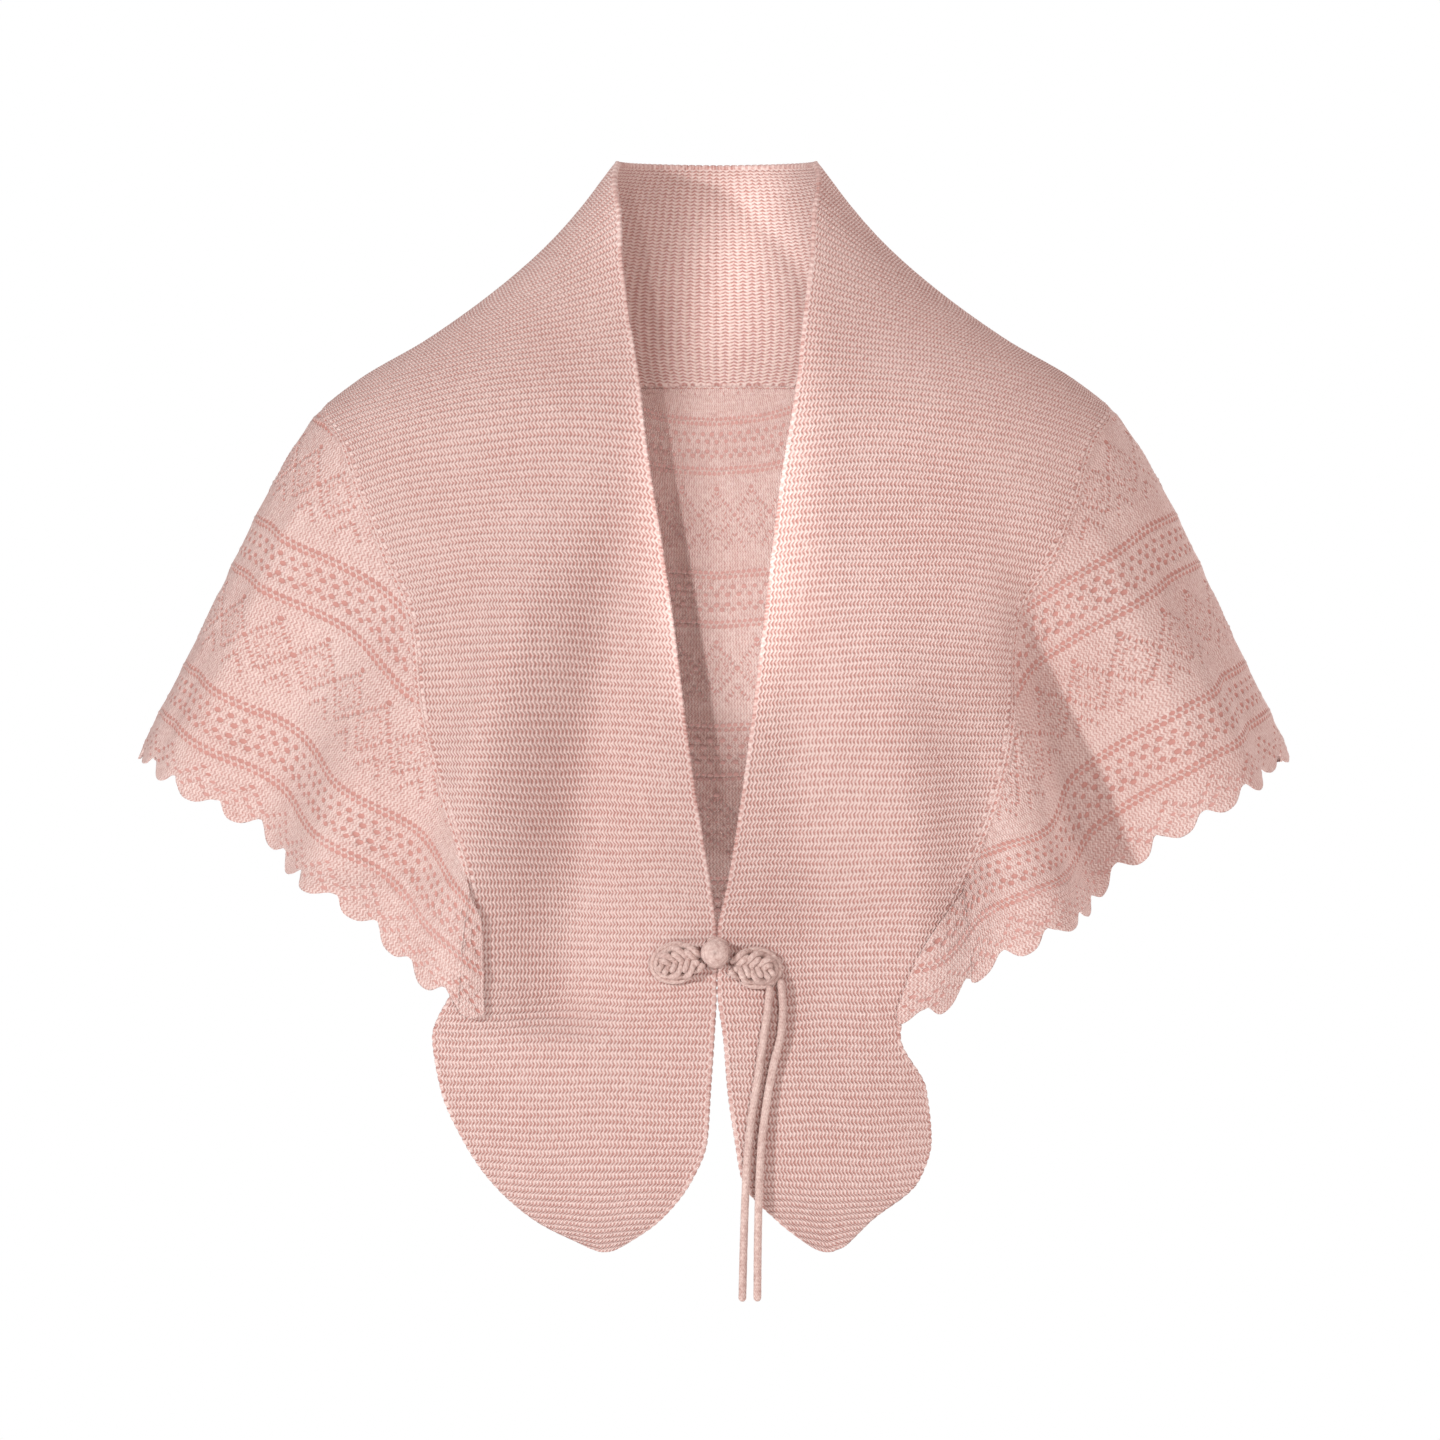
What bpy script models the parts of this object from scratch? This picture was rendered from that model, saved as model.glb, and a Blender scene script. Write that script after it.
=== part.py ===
"""Knitted capelet with a ribbed band, a lace wrap and a frog fastening.

The capelet hangs filled out, as it does when it is worn. +X is the wearer's left, -Y is the
front and +Z is up. The origin is the middle of the neck, at its base.
"""
import math

import bmesh
import bpy
import numpy as np

MM = 0.001

# Driving dimensions, in millimetres
RIDGE_PITCH = 4.1        # one garter ridge of the band
RIDGE_HEIGHT = 1.0       # how far a ridge stands out of the band
BAND_THICKNESS = 2.0     # knitted wall of the band, between its ridges
LACE_THICKNESS = 1.6     # knitted wall of the lace
SEAM_GAP = 0.35          # between the band and the lace
HALF_SEAM_GAP = 0.2      # each half of a seam between two like pieces
SCALLOP_PITCH = 26.0     # one scallop of the hem
SCALLOP_DEPTH = 8.0
LACE_LIFT = 4.6          # the lace lies in front of the tails below the last stitch of its seam
LIFT_START_Z = -284.0
LIFT_FULL_Z = -298.0
CORNER_Z = -362.0        # scallops run out over CORNER_FADE above the lace's front corner
CORNER_FADE = 10.0
SLEEVE_BACK_ANGLE = 122.0    # where the lace of the sleeve meets the lace of the back
CORD_DIAMETER = 4.0

# How finely the walls are divided
BAND_COLUMNS = 5
RIDGES_PER_INNER_ROW = 2
LACE_ROWS = 5
LACE_COLUMN_WIDTH = 6.3

# The form, from the collar down: half width, depth in front and depth behind at each height
FORM_COLUMNS = ("z", "half_width", "front", "back")
FORM = (
    (72.0, 48.5, 50.0, 55.0),
    (68.5, 51.5, 52.0, 56.0),
    (60.0, 58.0, 54.0, 58.0),
    (50.0, 65.5, 56.0, 61.0),
    (30.0, 83.0, 60.0, 68.0),
    (10.0, 105.0, 66.0, 75.0),
    (-20.0, 146.0, 76.0, 87.0),
    (-40.0, 180.0, 84.0, 95.0),
    (-60.0, 204.0, 92.0, 101.0),
    (-90.0, 223.0, 101.0, 108.0),
    (-130.0, 243.0, 111.0, 114.0),
    (-180.0, 266.0, 121.0, 119.0),
    (-230.0, 290.0, 128.0, 122.0),
    (-280.0, 308.0, 131.0, 124.0),
    (-340.0, 321.0, 132.0, 125.0),
    (-480.0, 326.0, 128.0, 125.0),
)

# Folds of the hanging cloth. Angles are in degrees round the form, from the front, and are
# negative on the wearer's right. A fold begins at start_z, is full at full_z and runs out at end_z.
FOLD_COLUMNS = ("start_angle", "end_angle", "start_z", "full_z", "fade_z", "end_z", "width", "height")
FOLDS = (
    (-35.0, -38.5, -140.0, -290.0, -600.0, -700.0, 6.0, 15.0),
    (-51.0, -52.0, -70.0, -250.0, -600.0, -700.0, 10.0, -21.0),
    (-21.5, -21.5, -80.0, -200.0, -290.0, -380.0, 4.6, 5.0),
    (-12.0, -11.0, -70.0, -170.0, -290.0, -400.0, 5.0, -8.0),
    (-97.0, -100.0, -110.0, -250.0, -600.0, -700.0, 8.0, 6.0),
    (-117.0, -119.0, -90.0, -270.0, -600.0, -700.0, 8.0, -11.0),
    (-136.0, -138.0, -110.0, -290.0, -600.0, -700.0, 7.5, 9.0),
    (-156.0, -157.0, -80.0, -280.0, -600.0, -700.0, 8.0, -9.0),
    (-175.0, -174.0, -120.0, -300.0, -600.0, -700.0, 7.0, 8.0),
    (162.0, 163.0, -90.0, -270.0, -600.0, -700.0, 8.0, -10.0),
    (144.0, 146.0, -110.0, -290.0, -600.0, -700.0, 7.0, 9.0),
    (126.0, 127.0, -80.0, -260.0, -600.0, -700.0, 8.5, -10.0),
    (104.0, 107.0, -110.0, -270.0, -600.0, -700.0, 8.0, 8.0),
    (32.0, 31.5, -160.0, -300.0, -600.0, -700.0, 5.0, 15.0),
    (42.5, 43.5, -110.0, -260.0, -600.0, -700.0, 8.0, -23.0),
    (20.5, 19.0, -160.0, -260.0, -330.0, -400.0, 3.8, 5.0),
    (9.0, 8.0, -120.0, -230.0, -320.0, -400.0, 5.0, -4.0),
    (23.0, 24.0, -320.0, -380.0, -600.0, -700.0, 6.0, -16.0),
)

# The band, in sections from the middle of the back to the tip of the tail. The edge is the free
# edge of the collar and front, and the outer edge carries the lace. x is the distance from the
# middle, behind says which side of the shoulder the point is on, and arch lifts the middle.
SECTION_COLUMNS = ("edge_x", "edge_z", "edge_behind", "arch", "outer_x", "outer_z", "outer_behind")
COLLAR_SECTIONS = (
    (0.0, 69.3, True, 0.0, 0.0, -42.0, True),
    (30.0, 69.5, True, 0.0, 36.0, -42.0, True),
    (51.5, 69.3, True, 0.0, 97.0, -44.0, True),
    (50.7, 48.0, False, 0.0, 135.0, -46.0, True),
    (49.0, 22.0, False, 2.0, 168.0, -49.0, True),
    (45.5, -8.0, False, 4.0, 194.5, -51.5, True),
)
SHOULDER_SECTION = len(COLLAR_SECTIONS) - 1
RIGHT_SECTIONS = COLLAR_SECTIONS + (
    (39.5, -46.0, False, 7.0, 189.5, -70.0, False),
    (34.2, -90.0, False, 7.0, 179.0, -101.0, False),
    (29.0, -125.0, False, 6.0, 167.0, -130.0, False),
    (24.0, -160.0, False, 4.0, 153.0, -160.0, False),
    (17.5, -210.0, False, 2.0, 146.0, -210.0, False),
    (11.0, -255.0, False, 0.0, 133.0, -252.0, False),
    (4.8, -292.0, False, 0.0, 121.0, -290.0, False),
    (1.6, -319.0, False, 0.0, 118.5, -318.0, False),
    (1.6, -345.0, False, 0.0, 127.0, -345.0, False),
    (2.8, -370.0, False, 0.0, 138.8, -370.0, False),
    (4.5, -395.0, False, 0.0, 135.0, -395.0, False),
    (6.2, -420.0, False, 0.0, 124.0, -420.0, False),
    (14.0, -440.0, False, -1.0, 110.5, -440.0, False),
    (30.0, -460.0, False, -2.0, 88.0, -460.0, False),
    (47.0, -472.5, False, -2.5, 64.0, -472.5, False),
)
LEFT_SECTIONS = COLLAR_SECTIONS + (
    (41.0, -47.0, False, 7.0, 190.0, -70.0, False),
    (34.0, -90.0, False, 7.0, 180.0, -101.0, False),
    (29.8, -125.0, False, 6.0, 170.0, -129.0, False),
    (26.0, -160.0, False, 4.0, 154.0, -162.0, False),
    (19.8, -210.0, False, 2.0, 147.0, -210.0, False),
    (13.2, -258.0, False, 0.0, 137.0, -254.0, False),
    (8.2, -292.0, False, 0.0, 123.0, -290.0, False),
    (4.0, -319.0, False, 0.0, 110.0, -318.0, False),
    (4.0, -345.0, False, 0.0, 96.5, -343.0, False),
    (5.2, -370.0, False, 0.0, 89.6, -368.0, False),
    (7.2, -395.0, False, 0.0, 103.8, -395.0, False),
    (10.8, -420.0, False, 0.0, 106.5, -420.0, False),
    (14.5, -440.0, False, -1.0, 99.8, -440.0, False),
    (31.8, -460.0, False, -2.0, 75.2, -460.0, False),
    (47.0, -472.5, False, -2.5, 63.0, -472.5, False),
)

# The lace's own front corner, below its seam: where its edge lies in front of the tail
LACE_EDGE = {"right": ((120.3, -297.0), (115.5, -310.0), (115.2, -332.0), (116.0, -362.0)),
             "left": ((120.3, -297.0), (109.5, -310.0), (103.0, -320.0), (96.0, -334.0),
                      (87.0, -361.0))}

# The hem of the lace, at the height between a scallop's tip and its notch
HEM_COLUMNS = ("angle", "z")
RIGHT_HEM = ((21.2, -360.0), (27.6, -335.0), (34.4, -307.0), (42.7, -288.0), (52.0, -266.0),
             (63.6, -250.0), (78.0, -234.0), (90.0, -229.0), (120.0, -262.0), (150.0, -312.0),
             (180.0, -345.0))
LEFT_HEM = ((16.3, -360.0), (19.1, -356.0), (24.5, -335.0), (32.4, -315.0), (37.9, -303.0),
            (43.0, -287.0), (50.0, -269.0), (60.0, -248.0), (76.0, -233.0), (90.0, -228.0),
            (120.0, -262.0), (150.0, -312.0), (180.0, -345.0))

# A column of lace that starts at one angle at the top ends further round at the hem
FAN_COLUMNS = ("top_angle", "hem_angle")
FAN = ((16.0, 16.0), (22.0, 22.0), (27.0, 34.0), (35.5, 46.0), (60.0, 67.0), (90.0, 90.0),
       (180.0, 180.0))

# The frog: braided lobes on both fronts, a knotted ball and the loop that holds it
LOBE_COLUMNS = ("x", "z", "half_length", "half_width", "height", "tilt_degrees")
LOBES = {"frog_lobe_right": (-19.2, -331.6, 13.0, 10.4, 8.6, 14.0),
         "frog_lobe_left": (18.9, -334.2, 13.2, 10.4, 8.6, -12.0)}
LOBE_STAND_OFF = 1.35
STRAND_WIDTH = 5.6
STRAND_RELIEF = 0.9
BALL_X = -0.8
BALL_Z = -326.6
BALL_RADIUS = 7.0
BALL_STAND_OFF = 9.4
LOOP_RADIUS = 6.2
LOOP_DIAMETER = 3.2
LOOP_STAND_OFF = 2.95
LOOP_HALF_TURN = 115.0

# Free ends of the frog's cord, as x and z of the points that they hang through
CORDS = {"cord_1": ((26.4, -344.9), (25.2, -356.0), (23.4, -368.0), (20.4, -389.0), (17.4, -408.0),
                    (15.4, -426.0), (14.2, -448.0), (13.4, -472.0), (12.8, -497.0)),
         "cord_2": ((31.9, -341.6), (32.8, -354.0), (32.0, -366.0), (28.4, -381.0), (24.6, -402.0),
                    (22.0, -424.0), (20.9, -448.0), (20.4, -472.0), (20.2, -497.0))}
CORD_CLEARANCE = 0.9
CORD_POINT_STEP = 9.5

COLOURS = {"band": (0.80, 0.52, 0.47), "lace": (0.84, 0.57, 0.52), "frog": (0.72, 0.50, 0.44)}


def slopes_of(u, values):
    """Slopes of a smooth curve through the values that never swings past them."""
    step = np.diff(u)
    chord = np.diff(values) / step
    slopes = np.zeros(len(values))
    slopes[0] = chord[0]
    slopes[-1] = chord[-1]
    for i in range(1, len(values) - 1):
        if chord[i - 1] * chord[i] > 0.0:
            before = 2.0 * step[i] + step[i - 1]
            after = step[i] + 2.0 * step[i - 1]
            slopes[i] = (before + after) / (before / chord[i - 1] + after / chord[i])
    return slopes


def smooth(at, u, values):
    """Reads a smooth curve through the values at u."""
    u = np.asarray(u, float)
    values = np.asarray(values, float)
    if u[0] > u[-1]:
        u = u[::-1]
        values = values[::-1]
    slopes = slopes_of(u, values)
    at = np.clip(at, u[0], u[-1])
    i = np.clip(np.searchsorted(u, at, side="right") - 1, 0, len(u) - 2)
    h = u[i + 1] - u[i]
    f = (at - u[i]) / h
    return (values[i] * (1 + 2 * f) * (1 - f) ** 2 + slopes[i] * h * f * (1 - f) ** 2
            + values[i + 1] * f * f * (3 - 2 * f) + slopes[i + 1] * h * f * f * (f - 1))


def column(table, columns, name):
    return np.array([row[columns.index(name)] for row in table], float)


def form(z, name):
    return smooth(z, column(FORM, FORM_COLUMNS, "z"), column(FORM, FORM_COLUMNS, name))


def ease(value, start, full):
    """Rises smoothly from 0 at start to 1 at full."""
    f = np.clip((value - start) / (full - start), 0.0, 1.0)
    return f * f * (3.0 - 2.0 * f)


def fold_height(angle, z):
    """Sum of the folds at an angle, in degrees, and a height."""
    total = np.zeros(np.broadcast(angle, z).shape)
    for start_angle, end_angle, start_z, full_z, fade_z, end_z, width, height in FOLDS:
        grown = ease(z, start_z, full_z)
        middle = start_angle + (end_angle - start_angle) * grown
        away = (angle - middle + 180.0) % 360.0 - 180.0
        total = total + height * grown * (1.0 - ease(z, fade_z, end_z)) * np.exp(-(away / width) ** 2)
    return total


def surface(angle, z, out=0.0):
    """Point of the cloth's form at an angle and a height, out millimetres outside it."""
    turn = np.radians(angle)
    width = form(z, "half_width")
    depth = np.where(np.cos(turn) > 0.0, form(z, "front"), form(z, "back"))
    across = np.sin(turn)
    along = -np.cos(turn)
    normal_x = across / width
    normal_y = along / depth
    size = np.hypot(normal_x, normal_y)
    rise = fold_height(angle, z)
    point = np.stack([width * across + rise * normal_x / size,
                      depth * along + rise * normal_y / size, z + 0.0 * across], axis=-1)
    if np.any(out):
        point = point + normal(angle, z) * np.asarray(out, float)[..., None]
    return point


def normal(angle, z):
    """Outward unit normal of the form, from small steps round and up it."""
    round_step = surface(angle + 0.2, z) - surface(angle - 0.2, z)
    up_step = surface(angle, z + 0.5) - surface(angle, z - 0.5)
    cross = np.cross(round_step, up_step)
    return cross / np.linalg.norm(cross, axis=-1, keepdims=True)


def angle_of(x, z, behind):
    """Angle round the form, in degrees, of a point x from the middle at height z."""
    front = np.degrees(np.arcsin(np.clip(x / form(z, "half_width"), 0.0, 1.0)))
    return np.where(behind, 180.0 - front, front)


class Band:
    """One half of the band, as a strip: a length along it and a share across it give a place."""

    def __init__(self, sections, sign):
        def read(name):
            return column(sections, SECTION_COLUMNS, name)
        self.sign = sign
        edge_z = read("edge_z")
        outer_z = read("outer_z")
        edge = angle_of(read("edge_x"), edge_z, read("edge_behind") > 0.5)
        outer = angle_of(read("outer_x"), outer_z, read("outer_behind") > 0.5)
        middle_z = (edge_z + outer_z) / 2.0 + read("arch")
        self.angles = (edge, (edge + outer) / 2.0, outer)
        self.heights = (edge_z, middle_z, outer_z)
        lines = [surface(a * sign, z) for a, z in zip(self.angles, self.heights)]
        steps = np.mean([np.linalg.norm(np.diff(line, axis=0), axis=1) for line in lines], axis=0)
        self.rows = np.concatenate([[0.0], np.cumsum(steps)])
        self.length = self.rows[-1]

    def place(self, row, t):
        """Angle and height at a length along the band and a share t across it."""
        shares = ((1 - t) * (1 - 2 * t), 4 * t * (1 - t), t * (2 * t - 1))
        angle = sum(share * smooth(row, self.rows, a) for share, a in zip(shares, self.angles))
        z = sum(share * smooth(row, self.rows, h) for share, h in zip(shares, self.heights))
        return self.sign * angle, z

    def outer(self, row):
        return self.place(row, np.ones_like(row))

    def row_at_height(self, z):
        rows = np.linspace(self.rows[SHOULDER_SECTION], self.length, 2000)
        return float(np.interp(-z, -self.outer(rows)[1], rows))


def material(name):
    made = bpy.data.materials.get(name) or bpy.data.materials.new(name)
    made.use_nodes = True
    shader = made.node_tree.nodes["Principled BSDF"]
    shader.inputs["Base Color"].default_value = (*COLOURS[name], 1.0)
    shader.inputs["Roughness"].default_value = 0.9
    shader.inputs["Metallic"].default_value = 0.0
    return made


def add_object(name, data, colour):
    made = bpy.data.objects.new(name, data)
    bpy.context.collection.objects.link(made)
    data.materials.append(material(colour))
    return made


def add_solid(name, points, faces, colour):
    """Puts points, in millimetres, and faces into one closed, smooth mesh."""
    mesh = bpy.data.meshes.new(name)
    mesh.from_pydata((np.asarray(points) * MM).tolist(), [], faces)
    body = bmesh.new()
    body.from_mesh(mesh)
    bmesh.ops.recalc_face_normals(body, faces=body.faces)
    if body.calc_volume(signed=True) < 0.0:
        bmesh.ops.reverse_faces(body, faces=body.faces)
    body.to_mesh(mesh)
    body.free()
    mesh.shade_smooth()
    mesh.set_sharp_from_angle(angle=math.radians(60.0))
    return add_object(name, mesh, colour)


def zip_chains(first, second):
    """Triangles between two chains of points that run side by side, of any two lengths."""
    faces = []
    i = 0
    j = 0
    while i < len(first) - 1 or j < len(second) - 1:
        ahead_first = (i + 1) / (len(first) - 1)
        ahead_second = (j + 1) / (len(second) - 1)
        if j == len(second) - 1 or (i < len(first) - 1 and ahead_first <= ahead_second):
            faces.append((first[i], first[i + 1], second[j]))
            i += 1
        else:
            faces.append((first[i], second[j + 1], second[j]))
            j += 1
    return faces


def add_wall(name, outside, inside, colour):
    """Closed wall between two grids of points, which may be divided differently."""
    points = []
    faces = []
    grids = []
    for grid in (outside, inside):
        rows, columns = grid.shape[:2]
        numbers = np.arange(rows * columns).reshape(rows, columns) + len(points)
        points.extend(grid.reshape(-1, 3))
        for i in range(rows - 1):
            for j in range(columns - 1):
                a, b = int(numbers[i, j]), int(numbers[i, j + 1])
                c, d = int(numbers[i + 1, j + 1]), int(numbers[i + 1, j])
                faces.append((a, b, c))
                faces.append((a, c, d))
        grids.append(numbers)
    for side in ((slice(None), 0), (slice(None), -1), (0, slice(None)), (-1, slice(None))):
        chains = [[int(n) for n in numbers[side]] for numbers in grids]
        faces.extend(zip_chains(chains[0], chains[1]))
    return add_solid(name, points, faces, colour)


def band_half(name, band):
    """A half of the band, ridged outside and plain inside."""
    ridges = round(band.length / RIDGE_PITCH)
    half_ridges = 2 * ridges
    rows = np.linspace(HALF_SEAM_GAP, band.length, half_ridges + 1)
    crest = np.where(np.arange(half_ridges + 1) % 2 == 1, RIDGE_HEIGHT, 0.0)
    across = np.linspace(0.0, 1.0, BAND_COLUMNS + 1)
    row_grid, across_grid = np.meshgrid(rows, across, indexing="ij")
    angle, z = band.place(row_grid, across_grid)
    outside = surface(angle, z, crest[:, None] * np.ones_like(z))
    inner_rows = rows[::2 * RIDGES_PER_INNER_ROW]
    if inner_rows[-1] != rows[-1]:
        inner_rows = np.append(inner_rows, rows[-1])
    row_grid, across_grid = np.meshgrid(inner_rows, across, indexing="ij")
    angle, z = band.place(row_grid, across_grid)
    inside = surface(angle, z, np.full_like(z, -BAND_THICKNESS))
    return add_wall(name, outside, inside, "band")


def lace_top(band, row, side):
    """Angle and height of the lace's upper edge, SEAM_GAP outside the band's edge."""
    angle, z = band.outer(row)
    corner = LACE_EDGE[side]
    own_x = np.interp(-z, [-point[1] for point in corner], [point[0] for point in corner])
    own_angle = band.sign * angle_of(own_x, z, False)
    angle = np.where(z < corner[0][1], own_angle, angle)
    here = surface(angle, z)
    along = surface(*band.outer(row + 1.0)) - surface(*band.outer(row - 1.0))
    away = np.cross(along, normal(angle, z)) * -band.sign
    away = away / np.linalg.norm(away, axis=-1, keepdims=True)
    turn_step = surface(angle + 0.1, z) - here
    up_step = surface(angle, z + 0.1) - here
    gap = np.where(np.abs(angle) > 179.99, 0.0, SEAM_GAP)
    angle = angle + 0.1 * gap * np.sum(away * turn_step, axis=-1) / np.sum(turn_step ** 2, axis=-1)
    z = z + 0.1 * gap * np.sum(away * up_step, axis=-1) / np.sum(up_step ** 2, axis=-1)
    return angle, z


def lace_grid(band, rows, side, hem, hem_phase):
    """Angles, heights and offsets of a stretch of lace, a column for each row of the band."""
    top_angle, top_z = lace_top(band, rows, side)
    turn = np.abs(top_angle)
    hem_angle = smooth(turn, column(FAN, FAN_COLUMNS, "top_angle"), column(FAN, FAN_COLUMNS, "hem_angle"))
    hem_z = smooth(hem_angle, column(hem, HEM_COLUMNS, "angle"), column(hem, HEM_COLUMNS, "z"))
    line = surface(band.sign * hem_angle, hem_z)
    steps = np.linalg.norm(np.diff(line, axis=0), axis=1)
    length = np.concatenate([[0.0], np.cumsum(steps)]) + hem_phase
    scallop = -0.5 * np.cos(2 * math.pi * length / SCALLOP_PITCH)
    hem_z = hem_z - SCALLOP_DEPTH * scallop * ease(top_z, CORNER_Z, CORNER_Z + CORNER_FADE)
    down = np.linspace(0.0, 1.0, LACE_ROWS + 1)[:, None]
    angle = top_angle + (band.sign * hem_angle - top_angle) * down
    z = top_z + (hem_z - top_z) * down
    return angle, z, LACE_LIFT * ease(z, LIFT_START_Z, LIFT_FULL_Z), length[-1]


def add_lace(name, angle, z, lift):
    outside = surface(angle, z, lift)
    inside = surface(angle, z, lift - LACE_THICKNESS)
    return add_wall(name, outside, inside, "lace")


def lace_rows(start, end):
    count = max(2, round(abs(end - start) / LACE_COLUMN_WIDTH))
    return np.linspace(start, end, count + 1)


def frog_lobe(name, x, z, half_length, half_width, height, tilt_degrees):
    """Braided lobe: a pad whose underside follows the band, with the strands raised on it."""
    rings = 6
    spokes = 24
    tilt = math.radians(tilt_degrees)
    share, turn = np.meshgrid(np.linspace(0.0, 1.0, rings + 1)[1:],
                              np.linspace(0.0, 2 * math.pi, spokes, endpoint=False), indexing="ij")
    along = np.append(0.0, (half_length * share * np.cos(turn)).ravel())
    across = np.append(0.0, (half_width * share * np.sin(turn)).ravel())
    share = np.append(0.0, share.ravel())
    px = x + along * math.cos(tilt) - across * math.sin(tilt)
    pz = z + along * math.sin(tilt) + across * math.cos(tilt)
    angle = np.sign(px) * angle_of(np.abs(px), pz, False)
    dome = np.sqrt(np.clip(1.0 - share ** 2, 0.0, 1.0))
    braid = np.cos(2 * math.pi * (along / STRAND_WIDTH + np.abs(across) / (1.6 * STRAND_WIDTH)))
    top = LOBE_STAND_OFF + 1.6 + (height - 1.6) * dome + STRAND_RELIEF * braid * dome
    points = np.concatenate([surface(angle, pz, top),
                             surface(angle, pz, np.full_like(top, LOBE_STAND_OFF))])
    count = 1 + rings * spokes
    faces = []
    for layer in (0, count):
        for k in range(spokes):
            after = (k + 1) % spokes
            faces.append((layer, layer + 1 + k, layer + 1 + after))
            for ring in range(rings - 1):
                low = layer + 1 + ring * spokes
                high = low + spokes
                faces.append((low + k, high + k, high + after))
                faces.append((low + k, high + after, low + after))
    rim = 1 + (rings - 1) * spokes
    for k in range(spokes):
        after = (k + 1) % spokes
        faces.append((rim + k, count + rim + k, count + rim + after))
        faces.append((rim + k, count + rim + after, rim + after))
    return add_solid(name, points, faces, "frog")


def frog_ball():
    """Knotted ball of the frog, in front of the gap between the two fronts."""
    made = bmesh.new()
    bmesh.ops.create_uvsphere(made, u_segments=20, v_segments=12, radius=BALL_RADIUS * MM)
    mesh = bpy.data.meshes.new("frog_ball")
    made.to_mesh(mesh)
    made.free()
    mesh.shade_smooth()
    ball = add_object("frog_ball", mesh, "frog")
    depth = form(BALL_Z, "front") + BALL_STAND_OFF
    ball.location = (BALL_X * MM, -depth * MM, BALL_Z * MM)
    return ball


def add_cord(name, points, diameter, colour):
    """Cord through points, in millimetres, as a bevelled curve with closed ends."""
    curve = bpy.data.curves.new(name, "CURVE")
    curve.dimensions = "3D"
    curve.bevel_depth = diameter / 2.0 * MM
    curve.bevel_resolution = 2
    curve.use_fill_caps = True
    spline = curve.splines.new("POLY")
    spline.points.add(len(points) - 1)
    for target, point in zip(spline.points, points):
        target.co = (*(np.asarray(point) * MM), 1.0)
    return add_object(name, curve, colour)


def even_points(route, step):
    """Points an even step apart on a smooth curve through the route."""
    route = np.asarray(route, float)
    length = np.concatenate([[0.0], np.cumsum(np.linalg.norm(np.diff(route, axis=0), axis=1))])
    count = round(length[-1] / step)
    at = np.linspace(0.0, length[-1], count + 1)
    return np.stack([smooth(at, length, route[:, k]) for k in range(3)], axis=1)


def frog_loop():
    """Loop of the left lobe, between the ball and the fronts."""
    turn = np.radians(np.linspace(-LOOP_HALF_TURN, LOOP_HALF_TURN, 15))
    depth = form(BALL_Z, "front") + LOOP_STAND_OFF
    points = np.stack([BALL_X + LOOP_RADIUS * np.cos(turn), np.full_like(turn, -depth),
                       BALL_Z + LOOP_RADIUS * np.sin(turn)], axis=1)
    return add_cord("frog_loop", points, LOOP_DIAMETER, "frog")


def free_cord(name, route):
    """Free end of the frog's cord, hanging in front of the left tail."""
    x = np.array([point[0] for point in route])
    z = np.array([point[1] for point in route])
    reach = RIDGE_HEIGHT + CORD_DIAMETER / 2.0 + CORD_CLEARANCE
    there = surface(angle_of(x, z, False), z, np.full_like(z, reach))
    y = np.minimum.accumulate(there[:, 1])
    return add_cord(name, even_points(np.stack([x, y, z], axis=1), CORD_POINT_STEP), CORD_DIAMETER, "frog")


def main():
    for old in list(bpy.data.objects):
        bpy.data.objects.remove(old, do_unlink=True)

    bands = {"right": Band(RIGHT_SECTIONS, -1.0), "left": Band(LEFT_SECTIONS, 1.0)}
    hems = {"right": RIGHT_HEM, "left": LEFT_HEM}
    back = []
    for side, band in bands.items():
        band_half("band_" + side, band)
        corner = band.row_at_height(LACE_EDGE[side][-1][1])
        meet_rows = np.linspace(0.0, band.rows[SHOULDER_SECTION], 400)
        meet = float(np.interp(-SLEEVE_BACK_ANGLE, -np.abs(band.outer(meet_rows)[0]), meet_rows))
        rows = lace_rows(0.0, meet - HALF_SEAM_GAP)
        angle, z, lift, hem_length = lace_grid(band, rows, side, hems[side], SCALLOP_PITCH / 2.0)
        back.append((angle, z, lift))
        rows = lace_rows(meet + HALF_SEAM_GAP, corner)
        angle, z, lift, _ = lace_grid(band, rows, side, hems[side], hem_length)
        add_lace("lace_" + side, angle, z, lift)
    right, left = back
    angle, z, lift = (np.concatenate([a[:, :0:-1], b], axis=1) for a, b in zip(right, left))
    add_lace("lace_back", angle, z, lift)
    for name, values in LOBES.items():
        frog_lobe(name, *values)
    frog_ball()
    frog_loop()
    for name, route in CORDS.items():
        free_cord(name, route)


main()
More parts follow.
